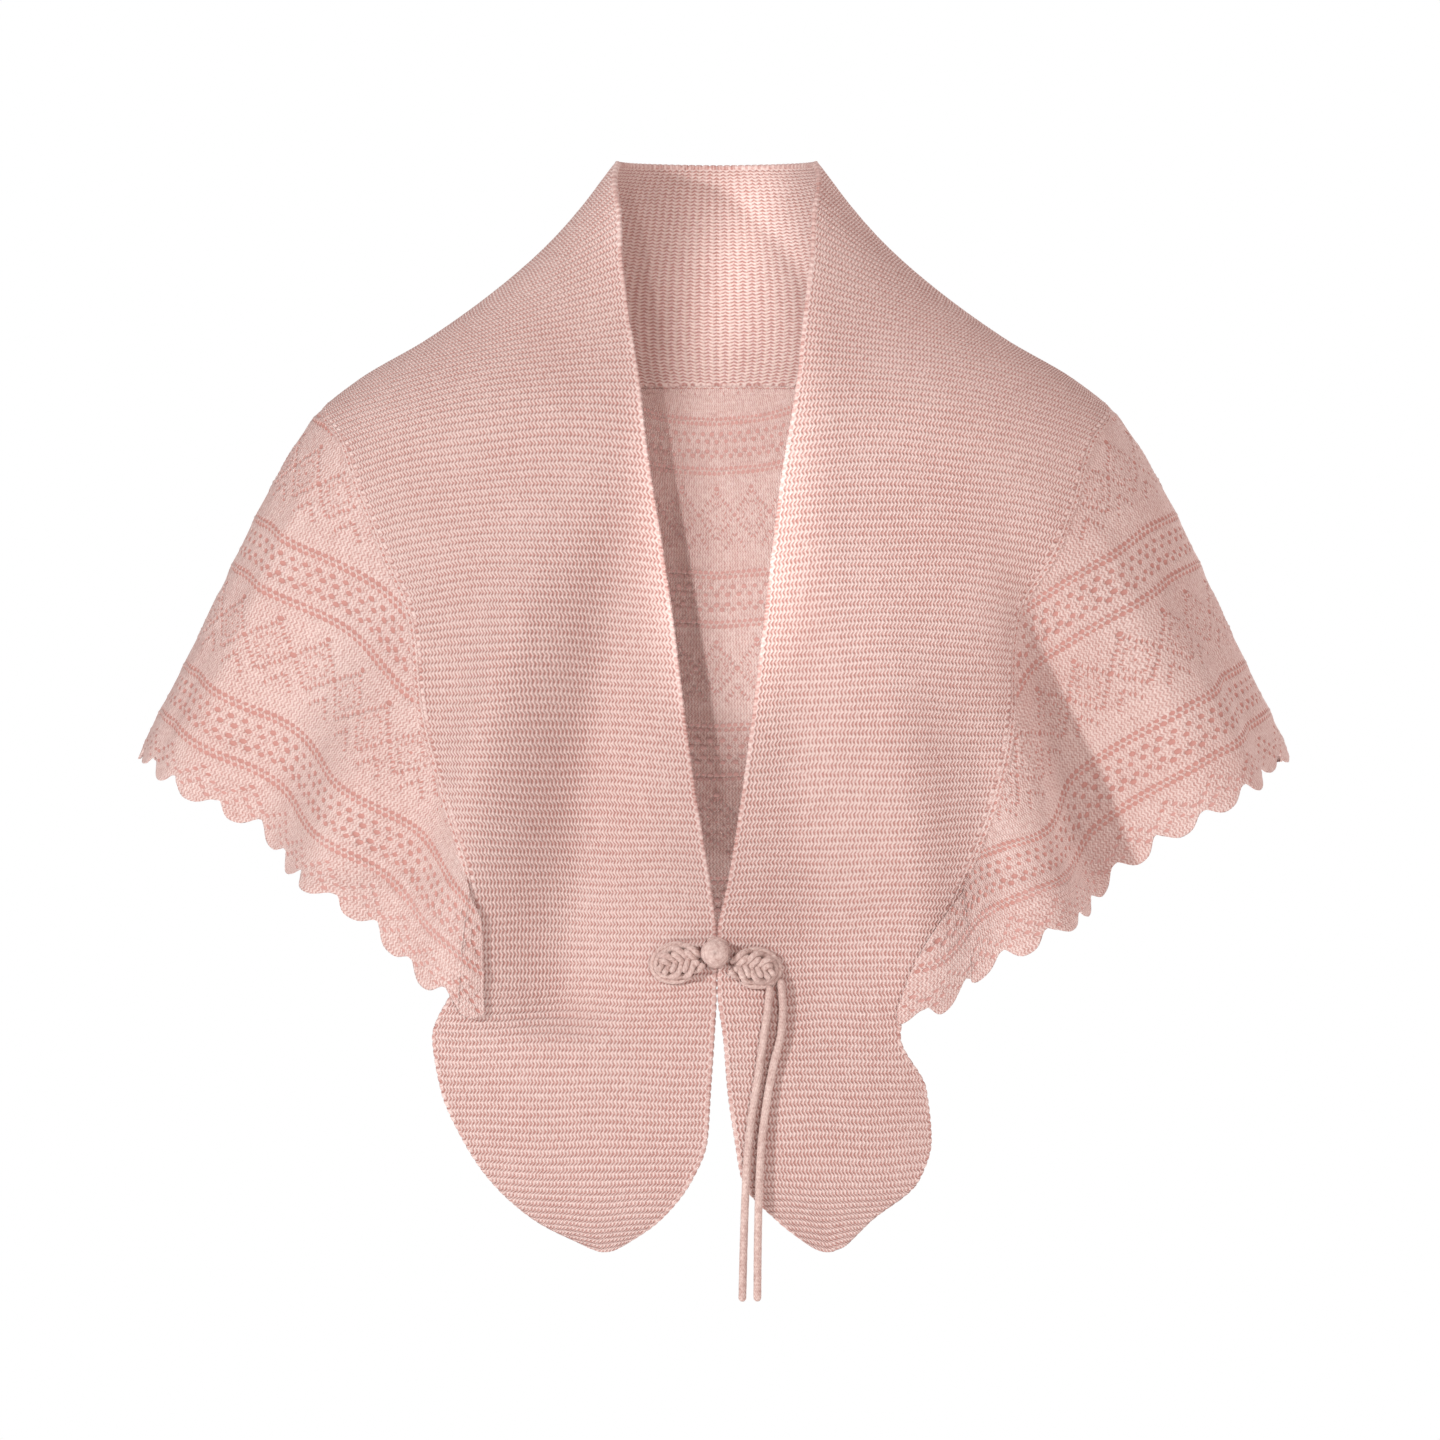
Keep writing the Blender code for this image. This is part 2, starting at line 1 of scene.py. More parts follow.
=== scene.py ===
import bpy
import math
import numpy as np
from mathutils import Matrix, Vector


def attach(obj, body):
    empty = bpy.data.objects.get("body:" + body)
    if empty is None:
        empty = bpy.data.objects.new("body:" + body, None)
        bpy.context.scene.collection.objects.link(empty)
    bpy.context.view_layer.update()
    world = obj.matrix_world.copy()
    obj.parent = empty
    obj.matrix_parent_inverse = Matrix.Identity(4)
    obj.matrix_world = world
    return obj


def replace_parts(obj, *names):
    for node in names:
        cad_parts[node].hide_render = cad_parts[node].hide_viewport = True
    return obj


# A knitted capelet: ridged band, lace wrap, frog fastening. Lengths are worked out in millimetres
# and put into the meshes in metres. +X is the wearer's left and -Y is the front.
millimetre = 0.001
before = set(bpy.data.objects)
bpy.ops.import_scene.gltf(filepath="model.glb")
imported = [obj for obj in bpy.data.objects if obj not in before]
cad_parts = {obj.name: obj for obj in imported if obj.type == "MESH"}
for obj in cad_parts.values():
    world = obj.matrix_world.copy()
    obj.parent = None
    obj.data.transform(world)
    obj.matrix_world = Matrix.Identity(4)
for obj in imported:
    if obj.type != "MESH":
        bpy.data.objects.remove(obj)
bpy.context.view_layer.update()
print("frame loaded")


# Smooth curves and the hanging form


def slopesOf(u, values):
    # slopes of a curve through the values that never swings past them: harmonic means of the chords
    step = np.diff(u)
    chord = np.diff(values) / step
    before = 2.0 * step[1:] + step[:-1]
    after = step[1:] + 2.0 * step[:-1]
    same = chord[:-1] * chord[1:] > 0.0
    left = np.where(same, chord[:-1], 1.0)
    right = np.where(same, chord[1:], 1.0)
    inner = np.where(same, (before + after) / (before / left + after / right), 0.0)
    return np.concatenate([chord[:1], inner, chord[-1:]])


def smooth(at, u, values):
    # cubic curve through (u, values), read at each place in at
    u = np.asarray(u, float)
    values = np.asarray(values, float)
    if u[0] > u[-1]:
        u = u[::-1]
        values = values[::-1]
    slopes = slopesOf(u, values)
    at = np.clip(at, u[0], u[-1])
    i = np.clip(np.searchsorted(u, at, side="right") - 1, 0, len(u) - 2)
    h = u[i + 1] - u[i]
    f = (at - u[i]) / h
    return (values[i] * (1 + 2 * f) * (1 - f) ** 2 + slopes[i] * h * f * (1 - f) ** 2
            + values[i + 1] * f * f * (3 - 2 * f) + slopes[i + 1] * h * f * f * (f - 1))


def ease(value, start, full):
    # rises smoothly from 0 at start to 1 at full
    f = np.clip((value - start) / (full - start), 0.0, 1.0)
    return f * f * (3.0 - 2.0 * f)


def column(rows, columns, name):
    return np.array([row[columns.index(name)] for row in rows], float)


form = {
    "columns": ("z", "halfWidth", "front", "back"),
    "rows": (
        (72.0, 48.5, 50.0, 55.0), (68.5, 51.5, 52.0, 56.0), (60.0, 58.0, 54.0, 58.0),
        (50.0, 65.5, 56.0, 61.0), (30.0, 83.0, 60.0, 68.0), (10.0, 105.0, 66.0, 75.0),
        (-20.0, 146.0, 76.0, 87.0), (-40.0, 180.0, 84.0, 95.0), (-60.0, 204.0, 92.0, 101.0),
        (-90.0, 223.0, 101.0, 108.0), (-130.0, 243.0, 111.0, 114.0), (-180.0, 266.0, 121.0, 119.0),
        (-230.0, 290.0, 128.0, 122.0), (-280.0, 308.0, 131.0, 124.0), (-340.0, 321.0, 132.0, 125.0),
        (-480.0, 326.0, 128.0, 125.0),
    ),
}

# Folds: startAngle, endAngle, startZ, fullZ, fadeZ, endZ, width, height. Angles are degrees round the
# form from the front, negative on the wearer's right. A fold begins at startZ, is full at fullZ and
# runs out from fadeZ to endZ.
folds = (
    (-35.0, -38.5, -140.0, -290.0, -600.0, -700.0, 6.0, 15.0),
    (-51.0, -52.0, -70.0, -250.0, -600.0, -700.0, 10.0, -21.0),
    (-21.5, -21.5, -80.0, -200.0, -290.0, -380.0, 4.6, 5.0),
    (-12.0, -11.0, -70.0, -170.0, -290.0, -400.0, 5.0, -8.0),
    (-97.0, -100.0, -110.0, -250.0, -600.0, -700.0, 8.0, 6.0),
    (-117.0, -119.0, -90.0, -270.0, -600.0, -700.0, 8.0, -11.0),
    (-136.0, -138.0, -110.0, -290.0, -600.0, -700.0, 7.5, 9.0),
    (-156.0, -157.0, -80.0, -280.0, -600.0, -700.0, 8.0, -9.0),
    (-175.0, -174.0, -120.0, -300.0, -600.0, -700.0, 7.0, 8.0),
    (162.0, 163.0, -90.0, -270.0, -600.0, -700.0, 8.0, -10.0),
    (144.0, 146.0, -110.0, -290.0, -600.0, -700.0, 7.0, 9.0),
    (126.0, 127.0, -80.0, -260.0, -600.0, -700.0, 8.5, -10.0),
    (104.0, 107.0, -110.0, -270.0, -600.0, -700.0, 8.0, 8.0),
    (32.0, 31.5, -160.0, -300.0, -600.0, -700.0, 5.0, 15.0),
    (42.5, 43.5, -110.0, -260.0, -600.0, -700.0, 8.0, -23.0),
    (20.5, 19.0, -160.0, -260.0, -330.0, -400.0, 3.8, 5.0),
    (9.0, 8.0, -120.0, -230.0, -320.0, -400.0, 5.0, -4.0),
    (23.0, 24.0, -320.0, -380.0, -600.0, -700.0, 6.0, -16.0),
)

# Creases that only the looks have, in the same columns: small ones, then those that deepen the
# folds of the fronts and turn their edges in
creases = (
    (-63.0, -66.0, -60.0, -120.0, -170.0, -240.0, 3.0, 1.6),
    (-72.0, -76.0, -120.0, -200.0, -300.0, -360.0, 3.4, -1.5),
    (-29.0, -30.0, -190.0, -240.0, -320.0, -370.0, 1.8, 1.2),
    (-17.0, -16.0, -60.0, -110.0, -160.0, -230.0, 2.4, 0.9),
    (-6.0, -6.5, -250.0, -300.0, -340.0, -420.0, 2.0, -1.0),
    (52.0, 54.0, -90.0, -140.0, -220.0, -270.0, 2.6, 1.7),
    (64.0, 69.0, -120.0, -190.0, -260.0, -340.0, 3.2, -1.5),
    (27.0, 26.5, -190.0, -240.0, -300.0, -350.0, 1.6, -1.3),
    (14.0, 13.0, -80.0, -130.0, -200.0, -270.0, 2.2, 1.1),
    (6.0, 7.0, -260.0, -310.0, -370.0, -430.0, 2.2, 1.0),
    (-108.0, -110.0, -130.0, -190.0, -240.0, -330.0, 3.0, 1.8),
    (-147.0, -149.0, -100.0, -170.0, -230.0, -340.0, 2.8, -1.4),
    (116.0, 118.0, -110.0, -180.0, -260.0, -330.0, 2.8, 1.7),
    (153.0, 155.0, -120.0, -170.0, -240.0, -330.0, 2.6, 1.5),
    (171.0, 172.0, -70.0, -140.0, -190.0, -290.0, 3.0, -1.6),
    (-22.0, -24.0, -90.0, -240.0, -350.0, -380.0, 3.6, 10.0),
    (-12.5, -14.0, -90.0, -240.0, -352.0, -374.0, 4.4, -14.0),
    (0.0, 0.0, -60.0, -180.0, -262.0, -322.0, 12.5, -15.0),
    (8.5, 8.0, -110.0, -220.0, -340.0, -400.0, 3.0, -2.6),
    (19.5, 18.5, -110.0, -230.0, -340.0, -400.0, 3.4, 3.0),
    (40.0, 38.5, -90.0, -200.0, -600.0, -700.0, 5.0, -13.0),
    (58.0, 60.0, -110.0, -230.0, -600.0, -700.0, 8.5, 12.0),
)


def formAt(z, name):
    return smooth(z, column(form["rows"], form["columns"], "z"), column(form["rows"], form["columns"], name))


def foldHeight(angle, z):
    # sum over the folds of height * how far it has grown * exp(-(distance / width) squared)
    total = np.zeros(np.broadcast(angle, z).shape)
    for startAngle, endAngle, startZ, fullZ, fadeZ, endZ, width, height in folds + creases:
        grown = ease(z, startZ, fullZ)
        middle = startAngle + (endAngle - startAngle) * grown
        away = (angle - middle + 180.0) % 360.0 - 180.0
        total = total + height * grown * (1.0 - ease(z, fadeZ, endZ)) * np.exp(-(away / width) ** 2)
    return total


def bare(angle, z):
    # ellipse (halfWidth * sin, -depth * cos) at height z, moved out along its normal by the folds
    turn = np.radians(angle)
    width = formAt(z, "halfWidth")
    depth = np.where(np.cos(turn) > 0.0, formAt(z, "front"), formAt(z, "back"))
    across = np.sin(turn)
    along = -np.cos(turn)
    size = np.hypot(across / width, along / depth)
    rise = foldHeight(angle, z)
    return np.stack([width * across + rise * across / width / size,
                     depth * along + rise * along / depth / size, z + 0.0 * across], axis=-1)


def normalAt(angle, z):
    # unit normal, from small steps round and up the form
    cross = np.cross(bare(angle + 0.2, z) - bare(angle - 0.2, z), bare(angle, z + 0.5) - bare(angle, z - 0.5))
    return cross / np.linalg.norm(cross, axis=-1, keepdims=True)


def surface(angle, z, out=None):
    # point of the form, out millimetres along its normal
    point = bare(angle, z)
    if out is None:
        return point
    return point + normalAt(angle, z) * np.asarray(out, float)[..., None]


def angleOf(x, z, behind):
    front = np.degrees(np.arcsin(np.clip(x / formAt(z, "halfWidth"), 0.0, 1.0)))
    return np.where(behind, 180.0 - front, front)


# The strip of the band


sections = {
    "columns": ("edgeX", "edgeZ", "edgeBehind", "arch", "outerX", "outerZ", "outerBehind"),
    "collar": (
        (0.0, 69.3, 1, 0.0, 0.0, -42.0, 1), (30.0, 69.5, 1, 0.0, 36.0, -42.0, 1),
        (51.5, 69.3, 1, 0.0, 97.0, -44.0, 1), (50.7, 48.0, 0, 0.0, 135.0, -46.0, 1),
        (49.0, 22.0, 0, 2.0, 168.0, -49.0, 1), (45.5, -8.0, 0, 4.0, 194.5, -51.5, 1),
    ),
    "right": (
        (39.5, -46.0, 0, 7.0, 189.5, -70.0, 0), (34.2, -90.0, 0, 7.0, 179.0, -101.0, 0),
        (29.0, -125.0, 0, 6.0, 167.0, -130.0, 0), (24.0, -160.0, 0, 4.0, 153.0, -160.0, 0),
        (17.5, -210.0, 0, 2.0, 146.0, -210.0, 0), (11.0, -255.0, 0, 0.0, 133.0, -252.0, 0),
        (4.8, -292.0, 0, 0.0, 121.0, -290.0, 0), (1.6, -319.0, 0, 0.0, 118.5, -318.0, 0),
        (1.6, -345.0, 0, 0.0, 127.0, -345.0, 0), (2.8, -370.0, 0, 0.0, 138.8, -370.0, 0),
        (4.5, -395.0, 0, 0.0, 135.0, -395.0, 0), (6.2, -420.0, 0, 0.0, 124.0, -420.0, 0),
        (14.0, -440.0, 0, -1.0, 110.5, -440.0, 0), (30.0, -460.0, 0, -2.0, 88.0, -460.0, 0),
        (47.0, -472.5, 0, -2.5, 64.0, -472.5, 0),
    ),
    "left": (
        (41.0, -47.0, 0, 7.0, 190.0, -70.0, 0), (34.0, -90.0, 0, 7.0, 180.0, -101.0, 0),
        (29.8, -125.0, 0, 6.0, 170.0, -129.0, 0), (26.0, -160.0, 0, 4.0, 154.0, -162.0, 0),
        (19.8, -210.0, 0, 2.0, 147.0, -210.0, 0), (13.2, -258.0, 0, 0.0, 137.0, -254.0, 0),
        (7.4, -292.0, 0, 0.0, 123.0, -290.0, 0), (2.2, -319.0, 0, 0.0, 110.0, -318.0, 0),
        (2.2, -345.0, 0, 0.0, 96.5, -343.0, 0), (5.2, -370.0, 0, 0.0, 89.6, -368.0, 0),
        (7.2, -395.0, 0, 0.0, 103.8, -395.0, 0), (10.8, -420.0, 0, 0.0, 106.5, -420.0, 0),
        (14.5, -440.0, 0, -1.0, 99.8, -440.0, 0), (31.8, -460.0, 0, -2.0, 75.2, -460.0, 0),
        (47.0, -472.5, 0, -2.5, 63.0, -472.5, 0),
    ),
}
shoulderSection = len(sections["collar"]) - 1


class Strip:
    # one half of the band: a length along it and a share across it give an angle and a height
    def __init__(self, side, sign):
        rows = sections["collar"] + sections[side]

        def read(name):
            return column(rows, sections["columns"], name)
        self.sign = sign
        edgeZ = read("edgeZ")
        outerZ = read("outerZ")
        edge = angleOf(read("edgeX"), edgeZ, read("edgeBehind") > 0.5)
        outer = angleOf(read("outerX"), outerZ, read("outerBehind") > 0.5)
        self.angles = (edge, (edge + outer) / 2.0, outer)
        self.heights = (edgeZ, (edgeZ + outerZ) / 2.0 + read("arch"), outerZ)
        lines = [surface(a * sign, z) for a, z in zip(self.angles, self.heights)]
        self.width = np.linalg.norm(lines[2] - lines[1], axis=1) + np.linalg.norm(lines[1] - lines[0], axis=1)
        steps = np.mean([np.linalg.norm(np.diff(line, axis=0), axis=1) for line in lines], axis=0)
        self.rows = np.concatenate([[0.0], np.cumsum(steps)])
        self.length = self.rows[-1]

    def place(self, row, t):
        # quadratic through edge, middle and outer edge
        shares = ((1 - t) * (1 - 2 * t), 4 * t * (1 - t), t * (2 * t - 1))
        angle = sum(share * smooth(row, self.rows, a) for share, a in zip(shares, self.angles))
        z = sum(share * smooth(row, self.rows, h) for share, h in zip(shares, self.heights))
        return self.sign * angle, z

    def outer(self, row):
        return self.place(row, np.ones_like(row))

    def rowAtHeight(self, z):
        rows = np.linspace(self.rows[shoulderSection], self.length, 2000)
        return float(np.interp(-z, -self.outer(rows)[1], rows))


# Materials


class Wire:
    # a shader socket that can be used in sums
    def __init__(self, paint, socket):
        self.paint = paint
        self.socket = socket

    def math(self, operation, *others):
        return self.paint.node("ShaderNodeMath", {"operation": operation}, dict(enumerate((self, *others))))

    def __add__(self, other):
        return self.math("ADD", other)

    def __mul__(self, other):
        return self.math("MULTIPLY", other)

    def __sub__(self, other):
        return self.math("SUBTRACT", other)

    def __truediv__(self, other):
        return self.math("DIVIDE", other)

    def __mod__(self, other):
        return self.math("FLOORED_MODULO", other)

    def __abs__(self):
        return self.math("ABSOLUTE")

    def __rsub__(self, other):
        return self.paint.node("ShaderNodeMath", {"operation": "SUBTRACT"}, {0: other, 1: self})

    def __rmul__(self, other):
        return self * other

    def __radd__(self, other):
        return self + other


class Paint:
    # a material and the one way to add nodes to it
    def __init__(self, name, **constants):
        self.material = bpy.data.materials.new(name)
        self.material.use_nodes = True
        self.tree = self.material.node_tree
        self.shader = self.tree.nodes["Principled BSDF"]
        for socket, value in constants.items():
            self.shader.inputs[socket.replace("_", " ")].default_value = value

    def node(self, kind, settings=None, inputs=None, output=0):
        made = self.tree.nodes.new(kind)
        for name, value in (settings or {}).items():
            setattr(made, name, value)
        for name, value in (inputs or {}).items():
            if isinstance(value, Wire):
                self.tree.links.new(value.socket, made.inputs[name])
            else:
                made.inputs[name].default_value = value
        return Wire(self, made.outputs[output])

    def uv(self):
        place = self.node("ShaderNodeUVMap", {"uv_map": "cloth"})
        split = self.node("ShaderNodeSeparateXYZ", inputs={0: place})
        return split, Wire(self, split.socket.node.outputs[1])

    def noise(self, scale, detail=2.0):
        place = self.node("ShaderNodeTexCoord", output=3)
        return self.node("ShaderNodeTexNoise", inputs={"Vector": place, "Scale": scale, "Detail": detail})

    def blend(self, share, low, high):
        return self.node("ShaderNodeMix", {"data_type": "RGBA"}, {0: share, 6: low, 7: high}, output=2)

    def finish(self, colour, height, distance, strength):
        self.tree.links.new(colour.socket, self.shader.inputs["Base Color"])
        bump = self.node("ShaderNodeBump", inputs={"Strength": strength, "Distance": distance, "Height": height})
        self.tree.links.new(bump.socket, self.shader.inputs["Normal"])
        return self.material


yarn = {
    "light": (0.745, 0.60, 0.56, 1.0),
    "laceLight": (0.75, 0.62, 0.58, 1.0),
    # painted shade: the deep colours below go into the low places between stitches, ridges and cord strands, as well
    # as into darker random tone
    "deepToneAndShade": (0.46, 0.235, 0.205, 1.0),
    "frogLight": (0.73, 0.60, 0.55, 1.0),
    "frogDeepToneAndShade": (0.36, 0.20, 0.175, 1.0),
    # painted shade: the eyelet webs' dark colour, for loose fibres and the shaded inside seen through the holes
    "fuzzAndHoleShade": (0.54, 0.28, 0.245, 1.0),
    "fuzzAndHoleShadeCover": 0.93,       # share of an eyelet's view that the web takes: loose fibres, and painted shade of the dark seen through the hole
    "bandStitch": 1.8,
    "ridgePitch": 4.1,
}


def woolPaint(name, light, deepToneAndShade, pattern, depth, contrast):
    # Wool: pattern gives a height from 0 to 1 out of u and v in millimetres. High places get the light colour and low
    # ones the deep colour, which is painted shade between stitches, ridges and strands; noise makes both uneven in
    # tone.
    paint = Paint(name, Roughness=0.9, Sheen_Weight=0.3, Sheen_Roughness=0.5, Specular_IOR_Level=0.15)
    paint.shader.inputs["Sheen Tint"].default_value = (1.0, 0.9, 0.87, 1.0)
    u, v = paint.uv()
    height = pattern(paint, u * 1000.0, v * 1000.0)
    fibre = paint.noise(620.0, 4.0)
    tone = paint.noise(22.0)
    # painted shade: height puts the deep colour into the low places; tone and fibre are random unevenness of the yarn
    share = 0.6 + (height - 0.5) * contrast + (tone - 0.5) * 0.35 + (fibre - 0.5) * 1.4
    share = share.math("MAXIMUM", 0.0).math("MINIMUM", 1.0)
    return paint.finish(paint.blend(share, deepToneAndShade, light), height + fibre * 0.5, depth, 0.8)


def wave(value, period):
    # cosine of the value, once a period
    return (value * (2.0 * math.pi / period)).math("COSINE")


def strokes(u, v, stitch, pair):
    # leaning stitches: cosine across, whose phase zigzags up the rows, once each way in a pair of rows
    zigzag = abs((v / pair) % 1.0 - 0.5) * 2.0
    return (u * (2.0 * math.pi / stitch) + zigzag * 3.4).math("COSINE") * (1.0 - abs(zigzag - 0.5) * 1.1)


def garter(paint, u, v):
    # strokes of the stitches on low rounded ridges, a wave up the rows
    wander = paint.noise(45.0) * 1.6
    # the wave gives the valleys between ridges the deep colour: painted shade
    crest = wave(v, yarn["ridgePitch"]) * -0.15
    return 0.5 + crest + strokes(u + wander, v + wander * 0.4, yarn["bandStitch"], yarn["ridgePitch"]) * 0.46


def stocking(paint, u, v):
    # finer strokes, two rows a zigzag
    wander = paint.noise(60.0) * 1.4
    return 0.5 + strokes(u + wander, v + wander, 1.857, 2.72) * 0.42


def plied(paint, u, v):
    # a small cord's rows of leaning stitches
    return 0.5 + wave(u + v * 0.6, 1.3) * 0.25 + wave(v, 1.5) * 0.1


# each contrast sets how strongly the low places take the painted shade
bandPaint = woolPaint("bandKnit", yarn["light"], yarn["deepToneAndShade"], garter, 0.0008, 1.5)
lacePaint = woolPaint("laceKnit", yarn["laceLight"], yarn["deepToneAndShade"], stocking, 0.0005, 1.0)
cordPaint = woolPaint("cordKnit", yarn["frogLight"], yarn["frogDeepToneAndShade"], plied, 0.0002, 0.45)
# painted shade: the webs' dark colour across the eyelets stands for the shaded inside seen through them, along with
# the loose fibres
fuzzAndHoleShadePaint = Paint("laceFuzzAndHoleShade", Roughness=1.0, Alpha=yarn["fuzzAndHoleShadeCover"], Specular_IOR_Level=0.0)
fuzzAndHoleShadePaint.shader.inputs["Base Color"].default_value = yarn["fuzzAndHoleShade"]
fuzzAndHoleShadePaint = fuzzAndHoleShadePaint.material
print("materials made")


# Meshes


def makeMesh(name, points, faces, uvs, paints, marks=None):
    # Points in millimetres and one uv for each. Faces come in blocks of corner numbers, and marks
    # says which of the paints a block has.
    marks = marks or [0] * len(faces)
    counts = [len(block) for block in faces]
    sizes = np.repeat([block.shape[1] for block in faces], counts)
    corners = np.concatenate([block.ravel() for block in faces]).astype(np.int32)
    mesh = bpy.data.meshes.new(name)
    mesh.vertices.add(len(points))
    mesh.vertices.foreach_set("co", (np.asarray(points) * millimetre).astype(np.float32).ravel())
    mesh.loops.add(len(corners))
    mesh.loops.foreach_set("vertex_index", corners)
    mesh.polygons.add(len(sizes))
    mesh.polygons.foreach_set("loop_start", np.concatenate([[0], np.cumsum(sizes)[:-1]]).astype(np.int32))
    for paint in paints:
        mesh.materials.append(paint)
    mesh.polygons.foreach_set("material_index", np.repeat(marks, counts).astype(np.int32))
    mesh.update(calc_edges=True)
    layer = mesh.uv_layers.new(name="cloth")
    layer.data.foreach_set("uv", (np.asarray(uvs)[corners] * millimetre).astype(np.float32).ravel())
    mesh.validate()
    mesh.shade_smooth()
    made = bpy.data.objects.new(name, mesh)
    bpy.context.collection.objects.link(made)
    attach(made, "root")
    print(name, int(np.sum(sizes - 2)), "triangles")
    return made


def gridFaces(rows, columns, closed=False):
    # quads of a grid of points numbered row by row, whose rows may be closed
    i = np.arange(rows - 1)[:, None]
    j = np.arange(columns if closed else columns - 1)[None, :]
    beside = (j + 1) % columns
    quads = np.stack(np.broadcast_arrays(i * columns + j, i * columns + beside,
                                         (i + 1) * columns + beside, (i + 1) * columns + j), axis=-1)
    return quads.reshape(-1, 4)


# Band


band = {
    "rowsPerRidge": 6,
    "outsideColumns": 42,
    "insideColumns": 22,
    "edgePoints": 5,
    "thickness": 2.0,
    "ridgeHeight": 0.5,
    "edgeRadius": 1.75,
    "seamWidth": 3.6,        # the openwork line that joins the lace
}


def ridgeProfile(share):
    # rounded ridge: root of a parabola over each pitch, sharp only in the valleys
    return np.sqrt(np.clip(1.0 - (2.0 * (share % 1.0) - 1.0) ** 2, 0.0, 1.0))


def bandHalf(name, strip, seamEnd):
    ridges = round(strip.length / yarn["ridgePitch"])
    rows = np.linspace(0.0, strip.length, ridges * band["rowsPerRidge"] + 1)
    ridge = rows / (strip.length / ridges)
    width = smooth(rows, strip.rows, strip.width)
    inset = band["seamWidth"] / width * (1.0 - ease(rows, seamEnd - 8.0, seamEnd + 2.0))
    last = 1.0 - inset
    outside = np.linspace(0.0, 1.0, band["outsideColumns"])[None, :] * last[:, None]
    inside = np.linspace(1.0, 0.0, band["insideColumns"])[None, :] * last[:, None]
    bow = np.linspace(0.0, math.pi, band["edgePoints"] + 2)[1:-1]
    ends = np.ones_like(bow)
    t = np.concatenate([outside, last[:, None] * ends, inside, 0.0 * last[:, None] * ends], axis=1)
    uneven = 0.5 * np.sin(rows[:, None] / 31.0 + 9.0 * t) + 0.35 * np.sin(rows[:, None] / 13.0 - 14.0 * t)
    row = np.clip(rows[:, None] + uneven * 0.8 * ease(rows, 0.0, 25.0)[:, None], 0.0, strip.length)
    angle, z = strip.place(row, t)
    share = ridge[:, None] + 0.0 * t
    outHeight = band["ridgeHeight"] * ridgeProfile(share)
    inHeight = -band["thickness"] - 0.7 * ridgeProfile(share + 0.5)
    middle = -band["thickness"] / 2.0
    radius = band["edgeRadius"] * (0.8 + 0.3 * ridgeProfile(share))
    isOut = np.arange(t.shape[1]) < band["outsideColumns"]
    isIn = (np.arange(t.shape[1]) >= band["outsideColumns"] + len(bow)) & \
        (np.arange(t.shape[1]) < band["outsideColumns"] + len(bow) + band["insideColumns"])
    turn = np.concatenate([np.zeros(band["outsideColumns"]), bow, np.zeros(band["insideColumns"]), math.pi - bow])
    out = np.where(isOut, outHeight, np.where(isIn, inHeight, middle + radius * np.cos(turn)))
    sideways = np.where(isOut | isIn, 0.0, radius * np.sin(turn))
    sideways = np.where(np.arange(t.shape[1]) > band["outsideColumns"] + len(bow), -sideways, sideways)
    points = surface(angle, z, out)
    ahead = strip.place(row, t + 0.01)
    across = bare(*ahead) - bare(angle, z)
    across = across / np.linalg.norm(across, axis=-1, keepdims=True)
    points = points + across * sideways[..., None]
    uvs = np.stack([t * width[:, None], share * yarn["ridgePitch"]], axis=-1)
    faces = gridFaces(*t.shape, closed=True)
    if strip.sign > 0:
        faces = faces[:, ::-1]
    count = t.shape[1]
    caps = [np.arange(count)[None, :], (len(rows) - 1) * count + np.arange(count)[None, ::-1]]
    if strip.sign > 0:
        caps = [cap[:, ::-1] for cap in caps]
    return makeMesh(name, points.reshape(-1, 3), [faces, *caps], uvs.reshape(-1, 2), [bandPaint])


# Lace


lace = {
    "repeat": 26.0,          # one scallop and one lozenge
    "stitches": 14,
    "rowHeight": 1.36,
    "backRowHeight": 1.28,
    "scallopDepth": 7.4,
    "scallopUneven": (1.0, 0.62, 1.2, 0.8, 1.1, 0.45, 1.25, 0.9, 0.6, 1.15, 0.75),
    "base": -0.5,            # depth of the knit's face under the form
    "fold": 1.2,             # how far hems turn in
    "relief": 0.3,           # how far the knit rises beside an eyelet
    "lift": 3.4,             # how far the corner in front of the tail stands off
    "liftStart": -284.0,
    "liftFull": -298.0,
    "cornerZ": -362.0,
    "cornerFade": 10.0,
    "backAngle": 122.0,      # where the sleeves meet the back
    "edge": {"right": ((120.3, -297.0), (115.5, -310.0), (115.2, -332.0), (116.0, -362.0)),
             "left": ((120.3, -297.0), (109.5, -310.0), (103.0, -320.0), (96.0, -334.0), (87.0, -361.0))},
    "hem": {"right": ((21.2, -360.0), (27.6, -335.0), (34.4, -307.0), (42.7, -288.0), (52.0, -266.0),
                      (63.6, -250.0), (78.0, -234.0), (90.0, -229.0)),
            "left": ((16.3, -360.0), (19.1, -356.0), (24.5, -335.0), (32.4, -315.0), (37.9, -303.0),
                     (43.0, -287.0), (50.0, -269.0), (60.0, -248.0), (76.0, -233.0), (90.0, -228.0))},
    "hemBehind": ((105.0, -230.0), (120.0, -243.0), (135.0, -266.0), (150.0, -302.0), (165.0, -331.0),
                  (174.0, -341.0), (180.0, -343.0)),
    "fan": ((16.0, 16.0), (22.0, 22.0), (27.0, 34.0), (35.5, 46.0), (60.0, 67.0), (90.0, 90.0), (180.0, 180.0)),
}

# Kinds of hole: stitches wide, reach across and up within its block, and which way it leans
holeKinds = {
    "round": (2, 0.76, 0.80, 0), "wide": (2, 0.94, 0.97, 0), "large": (2, 0.97, 1.0, 0),
    "flat": (2, 0.85, 0.6, 0), "small": (2, 0.5, 0.55, 0),
    "ladderUp": (1, 0.86, 0.95, 1), "ladderDown": (1, 0.86, 0.95, -1),
    "faintUp": (1, 0.55, 0.72, 1), "faintDown": (1, 0.55, 0.72, -1),
}

